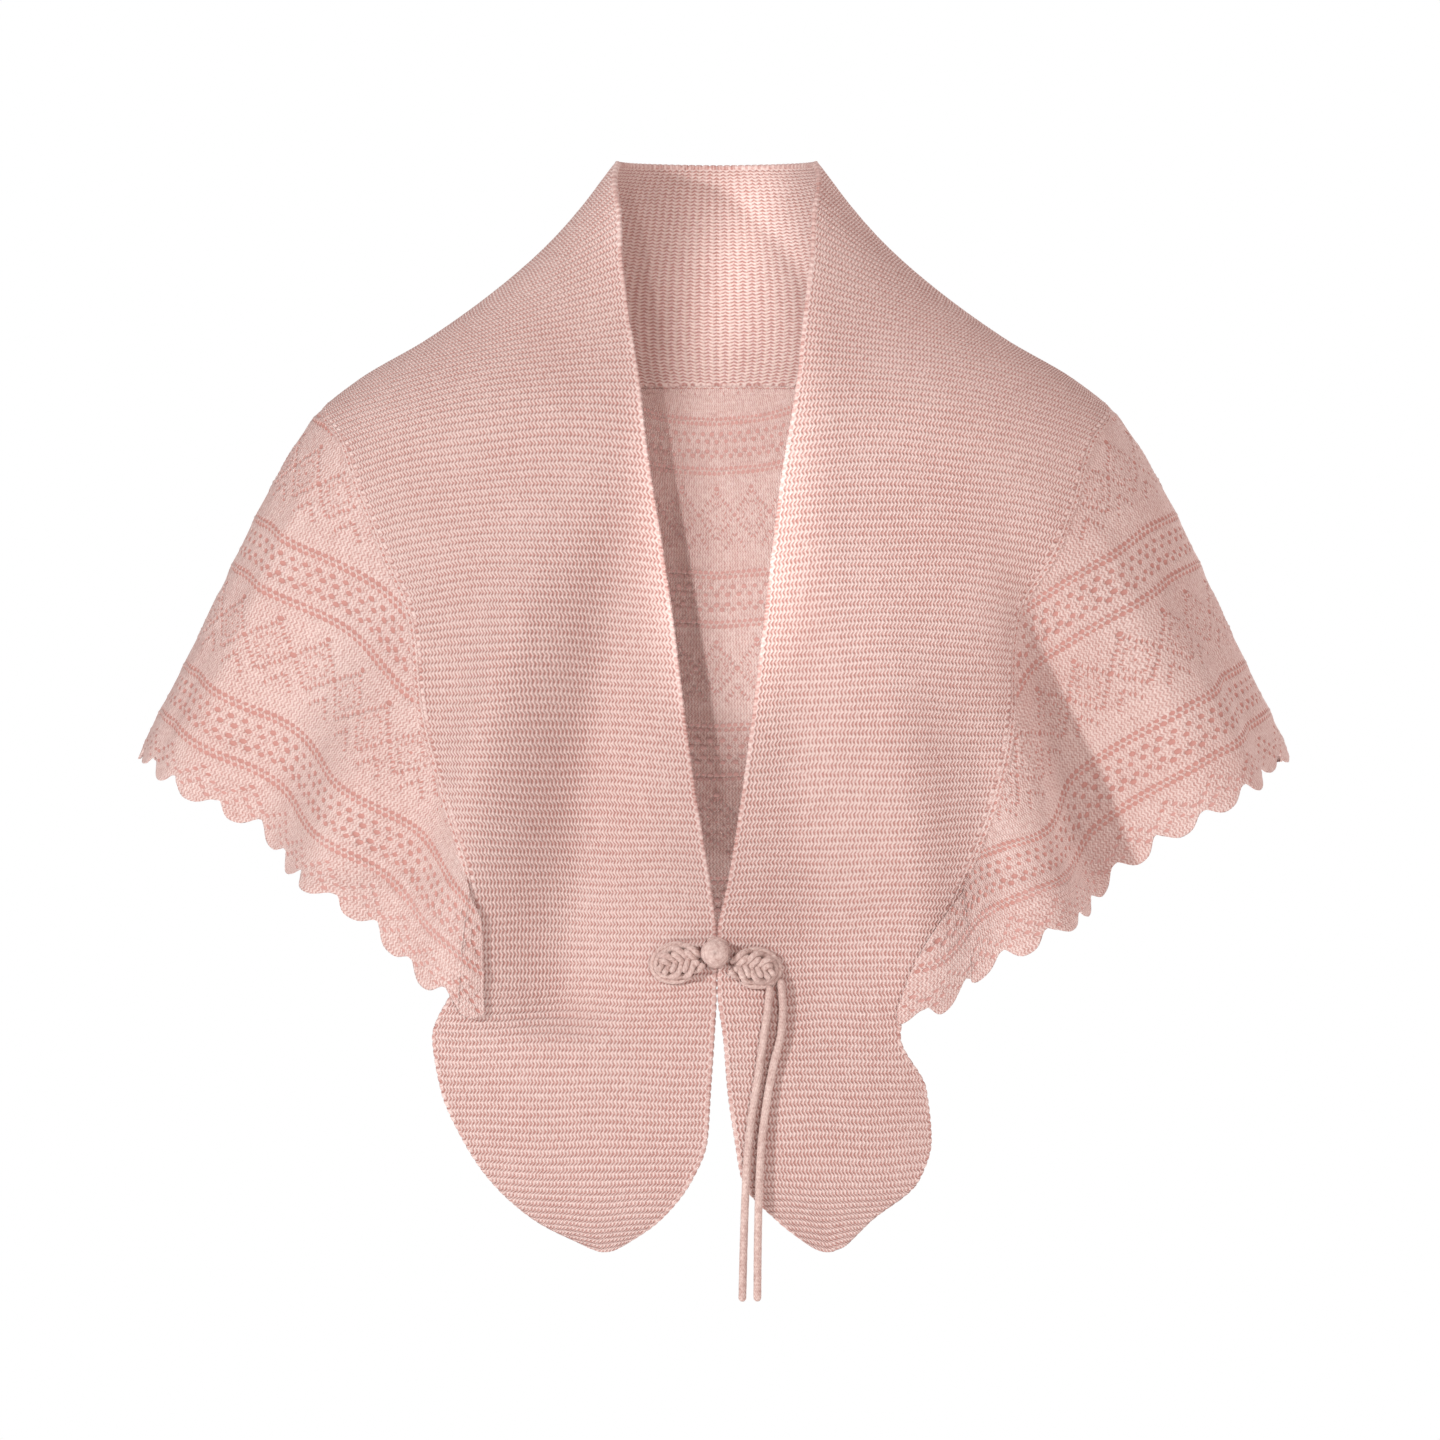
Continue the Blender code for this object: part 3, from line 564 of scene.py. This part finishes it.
# The lace chart: row from the hem, stitches in a repeat, columns in it and kind. Lozenges are
# fourteen stitches wide with their middle on column 7. Rows below 17 are the hem's, and the rest
# repeats every 62 rows.
hemChart = (
    (12, 14, (7,), "flat"), (10, 14, (5, 9), "flat"), (8, 14, (3, 11), "flat"), (6, 14, (1, 13), "flat"),
    (7, 14, (7,), "flat"), (5, 14, (5, 9), "flat"), (3, 14, (3, 11), "flat"),
)
repeatChart = (
    (17, 2, (0,), "round"), (19, 2, (1,), "round"), (24, 4, (1,), "wide"), (26, 4, (3,), "wide"),
    (30, 4, (3,), "wide"), (33, 4, (1,), "wide"), (37, 2, (0,), "round"), (39, 2, (1,), "round"),
    (49, 14, (3,), "ladderUp"), (51, 14, (2,), "ladderUp"), (52, 14, (1,), "ladderUp"), (54, 14, (0,), "ladderUp"),
    (49, 14, (10,), "ladderDown"), (51, 14, (11,), "ladderDown"), (52, 14, (12,), "ladderDown"),
    (54, 14, (13,), "ladderDown"),
    (53, 14, (6,), "ladderUp"), (54, 14, (5,), "ladderUp"), (56, 14, (4,), "ladderUp"), (57, 14, (3,), "ladderUp"),
    (58, 14, (2,), "ladderUp"), (60, 14, (1,), "ladderUp"),
    (53, 14, (7,), "ladderDown"), (54, 14, (8,), "ladderDown"), (56, 14, (9,), "ladderDown"),
    (57, 14, (10,), "ladderDown"), (58, 14, (11,), "ladderDown"), (60, 14, (12,), "ladderDown"),
    (62, 14, (0,), "large"), (62, 14, (7,), "small"),
    (57, 14, (6,), "faintUp"), (58, 14, (5,), "faintUp"), (60, 14, (4,), "faintUp"), (61, 14, (3,), "faintUp"),
    (57, 14, (7,), "faintDown"), (58, 14, (8,), "faintDown"), (60, 14, (9,), "faintDown"),
    (61, 14, (10,), "faintDown"),
    (63, 14, (3,), "faintDown"), (64, 14, (4,), "faintDown"), (66, 14, (5,), "faintDown"), (67, 14, (6,), "faintDown"),
    (63, 14, (10,), "faintUp"), (64, 14, (9,), "faintUp"), (66, 14, (8,), "faintUp"), (67, 14, (7,), "faintUp"),
    (64, 14, (1,), "ladderDown"), (66, 14, (2,), "ladderDown"), (67, 14, (3,), "ladderDown"),
    (68, 14, (4,), "ladderDown"), (70, 14, (5,), "ladderDown"), (71, 14, (6,), "ladderDown"),
    (64, 14, (12,), "ladderUp"), (66, 14, (11,), "ladderUp"), (67, 14, (10,), "ladderUp"), (68, 14, (9,), "ladderUp"),
    (70, 14, (8,), "ladderUp"), (71, 14, (7,), "ladderUp"), (73, 14, (7,), "large"),
)
repeatStart = 17
repeatRows = 62


def chartRow(level):
    return np.where(level < repeatStart, level, repeatStart + (level - repeatStart) % repeatRows)


def laceLevels(top):
    # rows from the hem up to the top one, without the plain ones that have no hole beside them
    level = np.arange(-5, top + 3)
    charted = np.array([row[0] for row in hemChart + repeatChart] + [repeatStart + repeatRows])
    beside = np.min(np.abs(chartRow(level)[:, None] - charted), axis=1) <= 1
    return level[beside | (level < 3) | (level >= top)][:, None]


def chartHoles(level, stitch):
    # for each kind of hole, where the rows and stitches have one
    places = {kind: np.zeros(np.broadcast(level, stitch).shape, bool) for kind in holeKinds}
    folded = chartRow(level)
    for row, period, columns, kind in hemChart + repeatChart:
        places[kind] |= (folded == row) & np.isin((stitch + 7) % period, columns)
    return places


def holedMesh(name, points, normals, low, high, holes, uvs, extra, paints):
    # Grid of points whose columns run from row low to row high. A hole takes the cells of its block, gives them a ring
    # of quads that dips inwards, and has a thin web: loose fibres, and painted shade for the dark inside seen through
    # the hole.
    rows, columns = points.shape[:2]
    r = np.arange(rows)[:, None]
    number = np.clip(r, low[None, :], high[None, :]) * columns + np.arange(columns)[None, :]
    own = (r > low) & (r < high)
    gone = np.zeros((rows - 1, columns - 1), bool)
    flatPoints = points.reshape(-1, 3)
    flatUvs = uvs.reshape(-1, 2)
    flatNormals = normals.reshape(-1, 3)
    addedPoints = []
    addedUvs = []
    blocks = []
    webs = []
    start = rows * columns
    for kind, (wide, across, up, lean) in holeKinds.items():
        heart = np.argwhere(holes[kind])
        inside = (heart[:, 0] > 0) & (heart[:, 0] < rows - 1) & (heart[:, 1] >= wide - 1) & (heart[:, 1] < columns - 1)
        heart = heart[inside]
        sides = range(1 - wide, 2)
        clear = np.all([own[heart[:, 0] + a, heart[:, 1] + b] for a in (-1, 0, 1) for b in sides], axis=0)
        heart = heart[clear]
        if not len(heart):
            continue
        for a in (-1, 0):
            for b in range(1 - wide, 1):
                gone[heart[:, 0] + a, heart[:, 1] + b] = True
        if wide == 2:
            ring = ((-1, -1), (-1, 0), (-1, 1), (0, 1), (1, 1), (1, 0), (1, -1), (0, -1))
            reach = [0.72 if a and b else 1.0 for a, b in ring]
            reach = [(across if a == 0 else up if b == 0 else (across + up) / 2.0) * s
                     for s, (a, b) in zip(reach, ring)]
        else:
            ring = ((-1, 0), (-1, 1), (0, 1), (1, 1), (1, 0), (0, 0))
            long = {(-1, 0), (1, 1)} if lean > 0 else {(-1, 1), (1, 0)}
            reach = [across * 0.9 if a == 0 else up if (a, b) in long else up * 0.42 for a, b in ring]
        border = np.stack([(heart[:, 0] + a) * columns + heart[:, 1] + b for a, b in ring], axis=1)
        middle = np.mean(flatPoints[border], axis=1, keepdims=True)
        middleUv = np.mean(flatUvs[border], axis=1, keepdims=True)
        size = 1.0 + 0.14 * np.sin(12.9 * heart[:, 0] + 78.2 * heart[:, 1])
        reach = np.minimum(np.array(reach)[None, :] * size[:, None], 0.97)[..., None]
        inner = middle + (flatPoints[border] - middle) * reach - flatNormals[border] * 0.35
        addedPoints.append(inner.reshape(-1, 3))
        addedUvs.append((middleUv + (flatUvs[border] - middleUv) * reach).reshape(-1, 2))
        count = len(ring)
        ids = start + np.arange(len(heart) * count).reshape(-1, count)
        start += len(heart) * count
        blocks.append(np.stack([border, np.roll(border, -1, axis=1), np.roll(ids, -1, axis=1), ids],
                               axis=-1).reshape(-1, 4))
        webs.append(ids)
    cells = np.stack([number[:-1, :-1], number[:-1, 1:], number[1:, 1:], number[1:, :-1]], axis=-1)[~gone]
    leftFlat = cells[:, 0] == cells[:, 3]
    rightFlat = cells[:, 1] == cells[:, 2]
    blocks.append(cells[~leftFlat & ~rightFlat])
    blocks.append(cells[leftFlat & ~rightFlat][:, [0, 1, 2]])
    blocks.append(cells[rightFlat & ~leftFlat][:, [0, 1, 3]])
    for edge, back in extra:
        # a turned-in hem: edge holds numbers of points, and back the places that they turn to
        turned = start + np.arange(len(edge))
        start += len(edge)
        addedPoints.append(back)
        addedUvs.append(flatUvs[edge] + np.array([0.0, 0.8]))
        blocks.append(np.stack([turned[:-1], turned[1:], edge[1:], edge[:-1]], axis=-1))
    faces = blocks + webs
    marks = [0] * len(blocks) + [1] * len(webs)
    allPoints = np.concatenate([flatPoints, *addedPoints])
    allUvs = np.concatenate([flatUvs, *addedUvs])
    used = np.zeros(len(allPoints), bool)
    for block in faces:
        used[block.ravel()] = True
    renumber = np.cumsum(used) - 1
    faces = [renumber[block][:, ::-1] for block in faces]
    return makeMesh(name, allPoints[used], faces, allUvs[used], paints, marks)


def laceTop(strip, row, side):
    # upper edge of the lace: the band's outer edge, and its own edge in front of the tail
    angle, z = strip.outer(row)
    corner = lace["edge"][side]
    ownX = np.interp(-z, [-point[1] for point in corner], [point[0] for point in corner])
    return np.where(z < corner[0][1], strip.sign * angleOf(ownX, z, False), angle), z


def hemPlace(strip, side, turn):
    hem = lace["hem"][side] + lace["hemBehind"]
    hemAngle = smooth(turn, [row[0] for row in lace["fan"]], [row[1] for row in lace["fan"]])
    return strip.sign * hemAngle, smooth(hemAngle, [row[0] for row in hem], [row[1] for row in hem])


def laceColumns(strip, side):
    # Top and hem of each column of lace, a stitch apart along the hem, from the middle of the back
    rows = np.linspace(0.0, strip.rowAtHeight(lace["edge"][side][-1][1]), 3000)
    angle, z = laceTop(strip, rows, side)
    hemAngle, hemZ = hemPlace(strip, side, np.abs(angle))
    steps = np.linalg.norm(np.diff(surface(hemAngle, hemZ), axis=0), axis=1)
    length = np.concatenate([[0.0], np.cumsum(steps)])
    stitch = lace["repeat"] / lace["stitches"]
    count = int(length[-1] / stitch)
    rows = np.interp(np.arange(count + 1) * stitch, length, rows)
    topAngle, topZ = laceTop(strip, rows, side)
    hemAngle, hemZ = hemPlace(strip, side, np.abs(topAngle))
    return np.stack([np.arange(count + 1) * strip.sign, topAngle, topZ, hemAngle, hemZ])


def lacePiece(name, columns):
    # columns fan from the seam to the hem, and rows lie a fixed distance from the hem
    stitch, topAngle, topZ, hemAngle, hemZ = columns
    down = np.linspace(0.0, 1.0, 25)[:, None]
    line = surface(topAngle + (hemAngle - topAngle) * down, topZ + (hemZ - topZ) * down)
    length = np.sum(np.linalg.norm(np.diff(line, axis=0), axis=2), axis=0)
    uneven = lace["scallopUneven"]
    depth = np.array(uneven)[np.floor(stitch / lace["stitches"] + 0.5).astype(int) % len(uneven)]
    turn = 2.0 * math.pi * stitch / lace["stitches"]
    scallop = 0.5 * np.cos(turn) - 0.09 * np.cos(2.0 * turn) + 0.05 * np.sin(turn)
    bottom = -lace["scallopDepth"] * scallop * (0.5 + 0.5 * depth) * ease(topZ, lace["cornerZ"],
                                                                          lace["cornerZ"] + lace["cornerFade"])
    rowHeight = lace["rowHeight"] + (lace["backRowHeight"] - lace["rowHeight"]) * ease(np.abs(topAngle), 110.0, 160.0)
    level = laceLevels(int(np.max(length / rowHeight)))
    height = level * rowHeight
    clipped = np.clip(height, bottom, np.maximum(length, bottom + 0.1))
    low = np.argmax(height > bottom, axis=0) - 1
    high = np.maximum(np.argmax(height >= length, axis=0), low + 1)
    share = 1.0 - clipped / length
    angle = topAngle + (hemAngle - topAngle) * share
    z = topZ + (hemZ - topZ) * share
    holes = chartHoles(level, stitch.astype(int))
    near = sum(np.roll(np.roll(sum(holes.values()).astype(float), a, axis=0), b, axis=1)
               for a in (-1, 0, 1) for b in (-1, 0, 1) if a or b)
    lift = lace["lift"] * ease(z, lace["liftStart"], lace["liftFull"])
    out = lift + lace["base"] + lace["relief"] * np.minimum(near, 3.0)
    normals = normalAt(angle, z)
    points = bare(angle, z) + normals * out[..., None]
    uvs = np.stack([stitch * (lace["repeat"] / lace["stitches"]) + 0.0 * z, clipped / rowHeight * lace["rowHeight"]],
                   axis=-1)
    each = np.arange(len(stitch))
    extra = []
    for edge, step in ((low, 2), (high, -2)):
        chosen = each if step > 0 else each[topZ < lace["liftFull"]]
        for part in ([chosen] if step > 0 else [chosen[stitch[chosen] < 0], chosen[stitch[chosen] > 0]]):
            if len(part) < 2:
                continue
            here = points[edge[part], part]
            inwards = points[np.clip(edge[part] + step, low[part], high[part]), part] - here
            inwards = inwards / np.maximum(np.linalg.norm(inwards, axis=1, keepdims=True), 1e-6)
            back = here + inwards * 0.5 - normals[edge[part], part] * lace["fold"]
            numbers = edge[part] * len(stitch) + part
            extra.append((numbers, back) if step > 0 else (numbers[::-1], back[::-1]))
    return holedMesh(name, points, normals, low, high, holes, uvs, extra, [lacePaint, fuzzAndHoleShadePaint])


seam = {
    # place across in millimetres from the band's outer edge, and how far out the strip lies there
    "across": (-2.8, -2.1, -1.1, 0.0, 1.1, 1.9, 2.6),
    "out": (-0.6, 0.35, 0.4, 0.3, 0.35, 0.15, -0.7),
    "holeColumn": 3,
    "rowsPerHole": 4,
}


def seamStrip(name, strip, seamEnd):
    # a narrow strip on the band's outer edge, with an eyelet at each ridge and a raised chain
    count = int(seamEnd / yarn["ridgePitch"]) * seam["rowsPerHole"]
    rows = np.linspace(0.0, seamEnd, count + 1)[:, None]
    across = np.array(seam["across"])[None, :]
    angle, z = strip.place(rows + 0.0 * across, 1.0 + across / smooth(rows, strip.rows, strip.width))
    out = np.array(seam["out"])[None, :] * (1.0 + 0.18 * np.cos(2.0 * math.pi * rows / yarn["bandStitch"]))
    normals = normalAt(angle, z)
    points = bare(angle, z) + normals * out[..., None]
    places = (np.arange(count + 1)[:, None] % seam["rowsPerHole"] == 2) & \
        (np.arange(len(seam["across"]))[None, :] == seam["holeColumn"])
    uvs = np.stack([across + 0.0 * rows, rows + 0.0 * across], axis=-1)
    if strip.sign < 0:
        points = points[:, ::-1]
        normals = normals[:, ::-1]
        uvs = uvs[:, ::-1]
        places = places[:, ::-1]
    holes = {kind: places & (kind == "round") for kind in holeKinds}
    width = len(seam["across"])
    return holedMesh(name, points, normals, np.zeros(width, int), np.full(width, count), holes, uvs, [],
                     [lacePaint, fuzzAndHoleShadePaint])


# Cords and the frog


def tube(name, path, radius, sides, paint):
    # circle of the radius carried along the path, square to it; the ends are rounded off
    path = np.asarray(path, float)
    radius = np.broadcast_to(np.asarray(radius, float), len(path)).copy()
    bow = np.array([0.25, 0.6, 0.88])
    firstStep = path[0] - path[1]
    lastStep = path[-1] - path[-2]
    firstStep = firstStep / np.linalg.norm(firstStep)
    lastStep = lastStep / np.linalg.norm(lastStep)
    headLift = radius[0] * np.sin(np.arccos(bow))[:, None]
    tailLift = radius[-1] * np.sin(np.arccos(bow))[::-1][:, None]
    path = np.concatenate([path[0] + firstStep * headLift, path, path[-1] + lastStep * tailLift])
    radius = np.concatenate([radius[0] * bow, radius, radius[-1] * bow[::-1]])
    along = np.gradient(path, axis=0)
    along = along / np.linalg.norm(along, axis=1, keepdims=True)
    front = np.array([0.0, -1.0, 0.0])
    toFront = front - along * (along @ front)[:, None]
    toFront = toFront / np.linalg.norm(toFront, axis=1, keepdims=True)
    beside = np.cross(along, toFront)
    turn = np.linspace(0.0, 2.0 * math.pi, sides + 1)
    points = (path[:, None, :] + radius[:, None, None] * (toFront[:, None, :] * np.cos(turn)[None, :, None]
              + beside[:, None, :] * np.sin(turn)[None, :, None]))
    steps = np.linalg.norm(np.diff(path, axis=0), axis=1)
    length = np.concatenate([[0.0], np.cumsum(steps)])
    girth = 2.0 * math.pi * float(np.median(radius))
    uvs = np.stack([np.broadcast_to(turn[None, :] / (2.0 * math.pi) * girth, points.shape[:2]),
                    np.broadcast_to(length[:, None], points.shape[:2])], axis=-1)
    blocks = [gridFaces(len(path), sides + 1), np.arange(sides + 1)[None, :],
              (len(path) - 1) * (sides + 1) + np.arange(sides + 1)[None, ::-1]]
    return makeMesh(name, points.reshape(-1, 3), blocks, uvs.reshape(-1, 2), [paint])


frog = {
    "lobes": {"right": (-19.2, -331.6, 14.0), "left": (18.9, -334.2, -12.0)},
    "strandRadius": 1.55,
    "pairGap": 1.45,
    "plait": {"start": -10.5, "length": 17.5, "breadth": 6.0, "rise": 5.2, "swell": 2.3, "turns": 0.95},
    "arcs": ((11.6, 9.0, 2.6), (9.4, 6.8, 3.6)),
    "ball": (-0.8, -326.6, 7.0, 9.4),
    "loopRadius": 6.2,
    "loopOut": 2.95,
    "loopThickness": 1.6,
}
cordRoutes = {"cord_1": ((26.4, -344.9), (25.2, -356.0), (23.4, -368.0), (20.4, -389.0), (17.4, -408.0),
                         (15.4, -426.0), (14.2, -448.0), (13.4, -472.0), (12.8, -497.0)),
              "cord_2": ((31.9, -341.6), (32.8, -354.0), (32.0, -366.0), (28.4, -381.0), (24.6, -402.0),
                         (22.0, -424.0), (20.9, -448.0), (20.4, -472.0), (20.2, -497.0))}


def onFront(x, z, out):
    # place on a front, out millimetres from the cloth, from its x and z
    angle = np.sign(x) * angleOf(np.abs(x), z, False)
    return surface(angle, z, out)


def lobePath(lobe, p, q, h):
    # local length, breadth and height of a lobe, put on the front where the lobe lies
    x, z, tilt = frog["lobes"][lobe]
    tilt = math.radians(tilt)
    away = 1.0 if lobe == "left" else -1.0
    px = x + away * p * math.cos(tilt) - q * math.sin(tilt)
    pz = z + away * p * math.sin(tilt) + q * math.cos(tilt)
    return onFront(px, pz, h)


def frogLobe(lobe):
    # three strands plait along the lobe, each a pair of cords side by side, inside two arcs
    pieces = []
    plait = frog["plait"]
    sweep = np.linspace(0.0, 1.0, 60)
    taper = 0.62 + 0.38 * np.sin(math.pi * np.clip(sweep * 1.1, 0.0, 1.0))
    for k in range(3):
        phase = 2.0 * math.pi * (plait["turns"] * sweep + k / 3.0)
        p = plait["start"] + plait["length"] * sweep
        q = plait["breadth"] * taper * np.sin(phase)
        h = plait["rise"] + plait["swell"] * np.sin(2.0 * phase)
        lead = np.hypot(np.gradient(p), np.gradient(q))
        for beside in (-frog["pairGap"], frog["pairGap"]):
            path = lobePath(lobe, p - beside * np.gradient(q) / lead, q + beside * np.gradient(p) / lead, h)
            pieces.append(tube(f"frogStrand_{lobe}_{len(pieces)}", path, frog["strandRadius"], 10, cordPaint))
    turn = np.linspace(-0.62 * math.pi, 0.62 * math.pi, 44)
    for reach, breadth, rise in frog["arcs"]:
        path = lobePath(lobe, 0.4 + reach * np.cos(turn), breadth * np.sin(turn), np.full_like(turn, rise))
        pieces.append(tube(f"frogStrand_{lobe}_{len(pieces)}", path, frog["strandRadius"], 10, cordPaint))
    return pieces


def frogBall():
    x, z, radius, out = frog["ball"]
    rise = np.linspace(0.0, math.pi, 40)[1:-1][:, None]
    turn = np.linspace(0.0, 2.0 * math.pi, 65)[None, :]
    groove = np.abs(np.sin(1.5 * turn + 2.2 * np.cos(rise)))
    size = radius * (0.86 + 0.14 * groove ** 0.5 * np.sin(rise))
    # the pole points forwards, so that the knot's crown faces out
    local = np.stack([size * np.sin(rise) * np.cos(turn), -size * np.cos(rise) + 0.0 * turn,
                      size * np.sin(rise) * np.sin(turn)], axis=-1)
    depth = float(formAt(np.array(z), "front"))
    points = local + np.array([x, -depth - out, z])
    uvs = np.stack(np.broadcast_arrays(turn * radius, rise * radius), axis=-1)
    rows, columns = points.shape[:2]
    blocks = [gridFaces(rows, columns)[:, ::-1], np.arange(columns)[None, :],
              (rows - 1) * columns + np.arange(columns)[None, ::-1]]
    return makeMesh("frogBall", points.reshape(-1, 3), blocks, uvs.reshape(-1, 2), [cordPaint])


def frogLoop():
    x, z = frog["ball"][:2]
    turn = np.radians(np.linspace(-112.0, 112.0, 40))
    depth = float(formAt(np.array(z), "front")) + frog["loopOut"]
    path = np.stack([x + frog["loopRadius"] * np.cos(turn), np.full_like(turn, -depth),
                     z + frog["loopRadius"] * np.sin(turn)], axis=1)
    return tube("frogLoop", path, frog["loopThickness"], 12, cordPaint)


def freeCord(name, node, route):
    route = np.asarray(route)
    x, z = route[:, 0], route[:, 1]
    y = np.minimum.accumulate(onFront(x, z, np.full_like(z, 3.9))[:, 1])
    key = np.stack([x, y, z], axis=1)
    length = np.concatenate([[0.0], np.cumsum(np.linalg.norm(np.diff(key, axis=0), axis=1))])
    at = np.linspace(0.0, length[-1], 80)
    path = np.stack([smooth(at, length, key[:, k]) for k in range(3)], axis=1)
    piece = tube(name, path, 2.0 + 0.04 * np.sin(at / 1.1), 14, cordPaint)
    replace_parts(piece, node)
    return piece


# Camera, then the cords and the frog, then the cloth


def addCamera():
    lens = {"distance": 6.0, "focal": 300.0, "frameWidth": 0.72, "sensor": 36.0}
    data = bpy.data.cameras.new("camera")
    data.lens = lens["focal"]
    data.sensor_width = lens["sensor"]
    camera = bpy.data.objects.new("camera", data)
    bpy.context.collection.objects.link(camera)
    camera.location = (0.00175, -0.06 - lens["distance"], -0.2118)
    camera.rotation_euler = (math.radians(90.0), 0.0, 0.0)
    data.clip_end = 50.0
    bpy.context.scene.camera = camera


addCamera()
strips = {"right": Strip("right", -1.0), "left": Strip("left", 1.0)}
seamEnds = {side: strip.rowAtHeight(-316.0) for side, strip in strips.items()}

for node, route in cordRoutes.items():
    freeCord("free" + node.title().replace("_", ""), node, route)
for lobe in ("right", "left"):
    strands = frogLobe(lobe)
    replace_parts(strands[0], "frog_lobe_" + lobe)
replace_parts(frogBall(), "frog_ball")
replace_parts(frogLoop(), "frog_loop")
print("frog made")

columns = {}
for side, strip in strips.items():
    piece = bandHalf("band" + side.title(), strip, seamEnds[side])
    line = seamStrip("seam" + side.title(), strip, seamEnds[side] + 2.0)
    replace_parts(piece, "band_" + side)
    print("band", side, round(strip.length), "mm long")
    columns[side] = laceColumns(strip, side)
    print("lace", side, columns[side].shape[1], "stitches round the hem")
for side in ("right", "left"):
    meet = int(np.argmax(np.abs(columns[side][1]) < lace["backAngle"]))
    sleeve = columns[side][:, meet:]
    if side == "right":
        sleeve = sleeve[:, ::-1]
    piece = lacePiece("lace" + side.title(), sleeve)
    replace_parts(piece, "lace_" + side)
    columns[side] = columns[side][:, :meet + 1]
piece = lacePiece("laceBack", np.concatenate([columns["right"][:, :0:-1], columns["left"]], axis=1))
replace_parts(piece, "lace_back")


# Floor and light


def addStage():
    paint = Paint("floorPaper", Roughness=0.9)
    paint.shader.inputs["Base Color"].default_value = (0.93, 0.925, 0.92, 1.0)
    paint.shader.inputs["Emission Color"].default_value = (1.0, 1.0, 1.0, 1.0)
    paint.shader.inputs["Emission Strength"].default_value = 0.35
    mesh = bpy.data.meshes.new("floor")
    reach, depth = 5.0, -1.45
    corners = [(x * reach, y * reach, depth) for x, y in ((-1, -1), (1, -1), (1, 1), (-1, 1))]
    mesh.from_pydata(corners, [], [(0, 1, 2, 3)])
    mesh.materials.append(paint.material)
    floor = bpy.data.objects.new("floor", mesh)
    bpy.context.collection.objects.link(floor)


lamps = {
    # each shines on a place from an azimuth (from the front towards the wearer's left), an elevation
    # and a distance; then its size, power and colour
    "key": ((0.0, 0.0, -0.2), -40.0, 12.0, 3.0, 0.22, 53.0, (1.0, 1.0, 1.0)),
    "fill": ((0.0, 0.0, -0.2), 14.0, 6.0, 3.0, 0.5, 22.0, (1.0, 0.88, 0.85)),
    "side": ((0.0, 0.0, -0.2), 96.0, 8.0, 2.6, 1.0, 19.0, (1.0, 0.88, 0.85)),
    "rear": ((0.0, 0.0, -0.2), 160.0, 24.0, 3.0, 1.0, 30.0, (1.0, 0.96, 0.94)),
    "top": ((0.0, 0.0, -0.2), 20.0, 65.0, 2.6, 2.0, 8.0, (1.0, 1.0, 1.0)),
}


def aimLamp(lamp, aim, place):
    bpy.context.collection.objects.link(lamp)
    lamp.location = place
    lamp.visible_camera = False
    lamp.rotation_euler = (Vector(place) - Vector(aim)).to_track_quat("Z", "Y").to_euler()


def addLamp(name, aim, azimuth, elevation, distance, size, power, colour):
    data = bpy.data.lights.new(name, "AREA")
    data.shape = "DISK"
    data.size = size
    data.energy = power
    data.color = colour
    turn, rise = math.radians(azimuth), math.radians(elevation)
    way = Vector((math.sin(turn) * math.cos(rise), -math.cos(turn) * math.cos(rise), math.sin(rise)))
    aimLamp(bpy.data.objects.new(name, data), aim, Vector(aim) + way * distance)


beams = {
    # narrow spots from the front: two into the V, so that the back is as bright as the fronts, and a
    # soft one on the wearer's left front. Each has an aim, a place, an angle, a share of it across,
    # the softness of its rim and a power
    "throat": ((0.018, 0.08, -0.085), (-0.17, -2.3, 0.04), 8.2, 0.25, 0.6, 205.0),
    "collar": ((0.008, 0.055, 0.03), (-0.30, -2.3, 0.20), 3.4, 1.0, 1.0, 68.0),
    "leftFront": ((0.08, -0.10, -0.11), (-0.60, -2.3, 0.10), 6.4, 0.75, 1.0, 36.0),
}


def addBeam(name, aim, place, angle, across, softness, power):
    data = bpy.data.lights.new(name, "SPOT")
    data.energy = power
    data.spot_size = math.radians(angle)
    data.spot_blend = softness
    data.shadow_soft_size = 0.02
    lamp = bpy.data.objects.new(name, data)
    aimLamp(lamp, aim, place)
    lamp.scale = (across, 1.0, 1.0)


def addSky():
    # warm dim light all round, and plain white where the camera looks past the capelet
    world = bpy.data.worlds.new("studio")
    world.use_nodes = True
    tree = world.node_tree
    dim = tree.nodes["Background"]
    dim.inputs["Color"].default_value = (1.0, 0.76, 0.73, 1.0)
    dim.inputs["Strength"].default_value = 0.33
    white = tree.nodes.new("ShaderNodeBackground")
    white.inputs["Color"].default_value = (1.0, 1.0, 1.0, 1.0)
    white.inputs["Strength"].default_value = 1.0
    mix = tree.nodes.new("ShaderNodeMixShader")
    seen = tree.nodes.new("ShaderNodeLightPath")
    tree.links.new(seen.outputs["Is Camera Ray"], mix.inputs[0])
    tree.links.new(dim.outputs[0], mix.inputs[1])
    tree.links.new(white.outputs[0], mix.inputs[2])
    tree.links.new(mix.outputs[0], tree.nodes["World Output"].inputs["Surface"])
    bpy.context.scene.world = world


addStage()
for name, values in lamps.items():
    addLamp(name, *values)
for name, values in beams.items():
    addBeam(name, *values)
addSky()
bpy.context.scene.view_settings.view_transform = "Standard"
